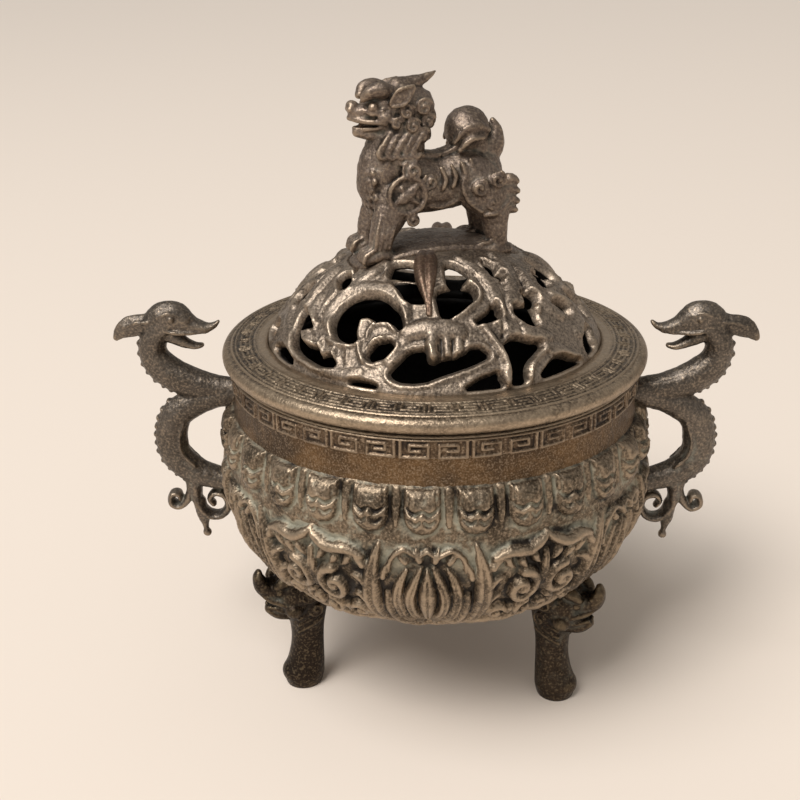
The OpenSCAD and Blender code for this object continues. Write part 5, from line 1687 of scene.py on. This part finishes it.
@dataclass
class Fittings:
    """Loose ash dish and the nut that holds the lion."""

    dish_r: float = 22.5
    dish_h: float = 9.5
    dish_t: float = 1.2
    floor_z: float = 21.65
    flat_r: float = 10.0

    def dish(self) -> bpy.types.Object:
        """Spun dish with a rolled lip and two turned lines inside.

        Returns:
            The dish.
        """
        z, r, h = self.floor_z, self.dish_r, self.dish_h
        side = bezier([[self.flat_r, z], [r * 0.72, z], [r * 0.93, z + h * 0.45], [r - 0.3, z + h - 0.7]], 28)
        along = unit(np.gradient(side, axis=0))
        inner = side + np.column_stack([-along[:, 1], along[:, 0]]) * self.dish_t
        bend = np.radians(np.arange(-40, 200, 20))
        lip = [[r - 0.7 + 0.65 * math.cos(a), z + h - 0.65 + 0.65 * math.sin(a)] for a in bend]
        lines = ((9, 0), (8.6, 0.18), (8.2, 0), (6.8, 0), (6.4, 0.18), (6, 0))
        line = [[x, z + self.dish_t + d] for x, d in lines]
        profile = [[0, z], *side, *lip, *inner[::-1], *line, [0, z + self.dish_t]]
        return as_object(turned(profile, 144), "dish_pan")

    def build(self, finish: bpy.types.Material, nut: bpy.types.Object) -> None:
        """Makes the dish and dresses the nut.

        Args:
            finish: Their finish.
            nut: The nut, which keeps its shape.
        """
        Handover("dish", "plain_brass", finish, ("ash_dish",), 8, 0.1).give(self.dish())
        nut.data.materials.clear()
        nut.data.materials.append(finish)
        LOG.info("%s: dressed", nut.name)


@dataclass
class Studio:
    """Pale floor, soft lamps and the camera."""

    floor_colour: str = "#e8ddd2"
    floor_half_m: float = 15.0
    sky_colour: str = "#e6e0d8"
    sky_strength: float = 0.5
    sun_strength: float = 1.5
    sun_deg: float = 40.0
    eye: tuple[float, float, float] = (0.0, -204.08, 139.9)
    ahead: tuple[float, float, float] = (-0.0282, 0.9201, -0.3906)
    upward: tuple[float, float, float] = (-0.0013, 0.3907, 0.9205)
    lens_mm: float = 54.0

    def floor(self) -> None:
        """Wide matt floor."""
        form = bmesh.new()
        bmesh.ops.create_grid(form, x_segments=1, y_segments=1, size=self.floor_half_m)
        floor = as_object(form, "floor")
        paint = bpy.data.materials.new("matt_paper")
        paint.use_nodes = True
        skin = paint.node_tree.nodes["Principled BSDF"]
        skin.inputs["Base Color"].default_value = linear(self.floor_colour)
        skin.inputs["Roughness"].default_value = 0.9
        floor.data.materials.append(paint)

    def lamp(self, name: str, at: Sequence[float], size: float, watts: float, colour: str) -> None:
        """Square lamp that faces the object.

        Args:
            name: The lamp's name.
            at: Its place in metres.
            size: Its side in metres.
            watts: Its power.
            colour: Its sRGB hex colour.
        """
        light = bpy.data.lights.new(name, "AREA")
        light.size, light.energy = size, watts
        light.color = linear(colour)[:3]
        lamp = bpy.data.objects.new(name, light)
        lamp.location = at
        lamp.rotation_euler = (Vector((0, 0, 0.05)) - Vector(at)).to_track_quat("-Z", "Y").to_euler()
        bpy.context.scene.collection.objects.link(lamp)

    def camera(self) -> None:
        """Camera at the photograph's viewing angle."""
        lens = bpy.data.cameras.new("camera")
        lens.lens, lens.sensor_width, lens.clip_start = self.lens_mm, 36.0, 0.01
        camera = bpy.data.objects.new("camera", lens)
        back = -Vector(self.ahead).normalized()
        right = Vector(self.upward).cross(back).normalized()
        turn = Matrix([right, back.cross(right), back]).transposed().to_4x4()
        camera.matrix_world = Matrix.Translation(Vector(self.eye) * MM) @ turn
        bpy.context.scene.collection.objects.link(camera)
        bpy.context.scene.camera = camera

    def build(self) -> None:
        """Makes the stage."""
        scene = bpy.context.scene
        scene.view_settings.view_transform = "Standard"
        world = bpy.data.worlds.new("studio")
        world.use_nodes = True
        sky = world.node_tree.nodes["Background"]
        sky.inputs["Color"].default_value = linear(self.sky_colour)
        sky.inputs["Strength"].default_value = self.sky_strength
        scene.world = world
        self.floor()
        sun = bpy.data.lights.new("soft_sun", "SUN")
        sun.energy, sun.angle = self.sun_strength, math.radians(self.sun_deg)
        above = bpy.data.objects.new("soft_sun", sun)
        above.rotation_euler = Vector((0.45, 0.35, -1)).to_track_quat("-Z", "Y").to_euler()
        scene.collection.objects.link(above)
        self.lamp("key", (-0.5, -0.7, 1.1), 0.6, 9.0, "#fff8f0")
        self.camera()


# Finishes by use: one bronze, cast and worn in several ways, the legs' one darkened with painted shade, and
# the brass of the loose fittings.
FINISHES = {
    # smooth brown, clouded with red, with pale dust under the petals
    "wall": AgedBronze("aged_bronze_wall", "#4c3f33", "#775e43", bloom=(43, 54.5), green=0.3, sand=0.35,
                       grain_mm=0.3, cloud_mm=13),
    # brown key lines, rubbed a little and broken by wear
    "fret": AgedBronze("aged_bronze_fret", "#54463a", "#675645", "#2a2018", green=0.0, sand=0.45, rub=0.45,
                       stir=1.2),
    # grey-brown ornament with pale dust in its upper hollows
    "relief": AgedBronze("aged_bronze_relief", "#584e42", "#7c6e5d", verdigris="#b9b6a3", bloom=(39, 54.0),
                         green=0.6, rub=0.6, sand=0.5, stir=1.3),
    # nearly black: the shade under the bowl is painted into the colour, with dull sparks on the mask
    "leg": AgedBronze("leg_bronze_painted_shade", "#2f2721", "#40362d", rubbed="#85765f", rub=0.5, sand=0.4),
    # greyish and softly worn, dusty in the low volutes
    "handle": AgedBronze("worn_cast_bronze", "#5c554e", "#706860", rub=0.45, sand=0.35, green=0.3,
                         bloom=(25, 46)),
    # handled edge, paler and sandy
    "rim": AgedBronze("rubbed_bronze_rim", "#6c5e4f", "#877865", rub=0.6, sand=0.7, green=0.0),
    # the palest metal, rubbed along its scrolls
    "dome": AgedBronze("pierced_bronze", "#786c60", "#94877a", rubbed="#bfae9a", sand=0.5, rub=0.6, green=0.0,
                       stir=1.0),
    # smooth and reddish brown
    "bud": AgedBronze("browned_bronze", "#604d40", "#786355", rub=0.4, sand=0.25, green=0.0),
    # close-grained and matt, rubbed on the curls
    "lion": AgedBronze("fine_cast_bronze", "#6c6057", "#83756b", rub=0.45, sand=0.35, rough=0.5),
    # yellow metal gone dull
    "brass": AgedBronze("dull_brass", "#8f7848", "#a58a52", "#5c4b2c", "#c7b074", green=0.1),
}


def main() -> None:
    """Builds the burner, its stage and its camera."""
    logging.basicConfig(level=logging.INFO, format="%(name)s: %(message)s")
    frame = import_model()
    Studio().build()
    made = {use: finish.material() for use, finish in FINISHES.items()}
    bowl = Bowl()
    bowl.build(made["wall"], made["fret"], made["relief"])
    Legs().build(bowl, made["leg"])
    Handles().build(bowl, made["handle"])
    Lid().build(made["rim"], made["dome"], made["bud"])
    Lion().build(made["lion"])
    Fittings().build(made["brass"], frame["nodes"]["finial_nut"])


if __name__ == "__main__":
    main()
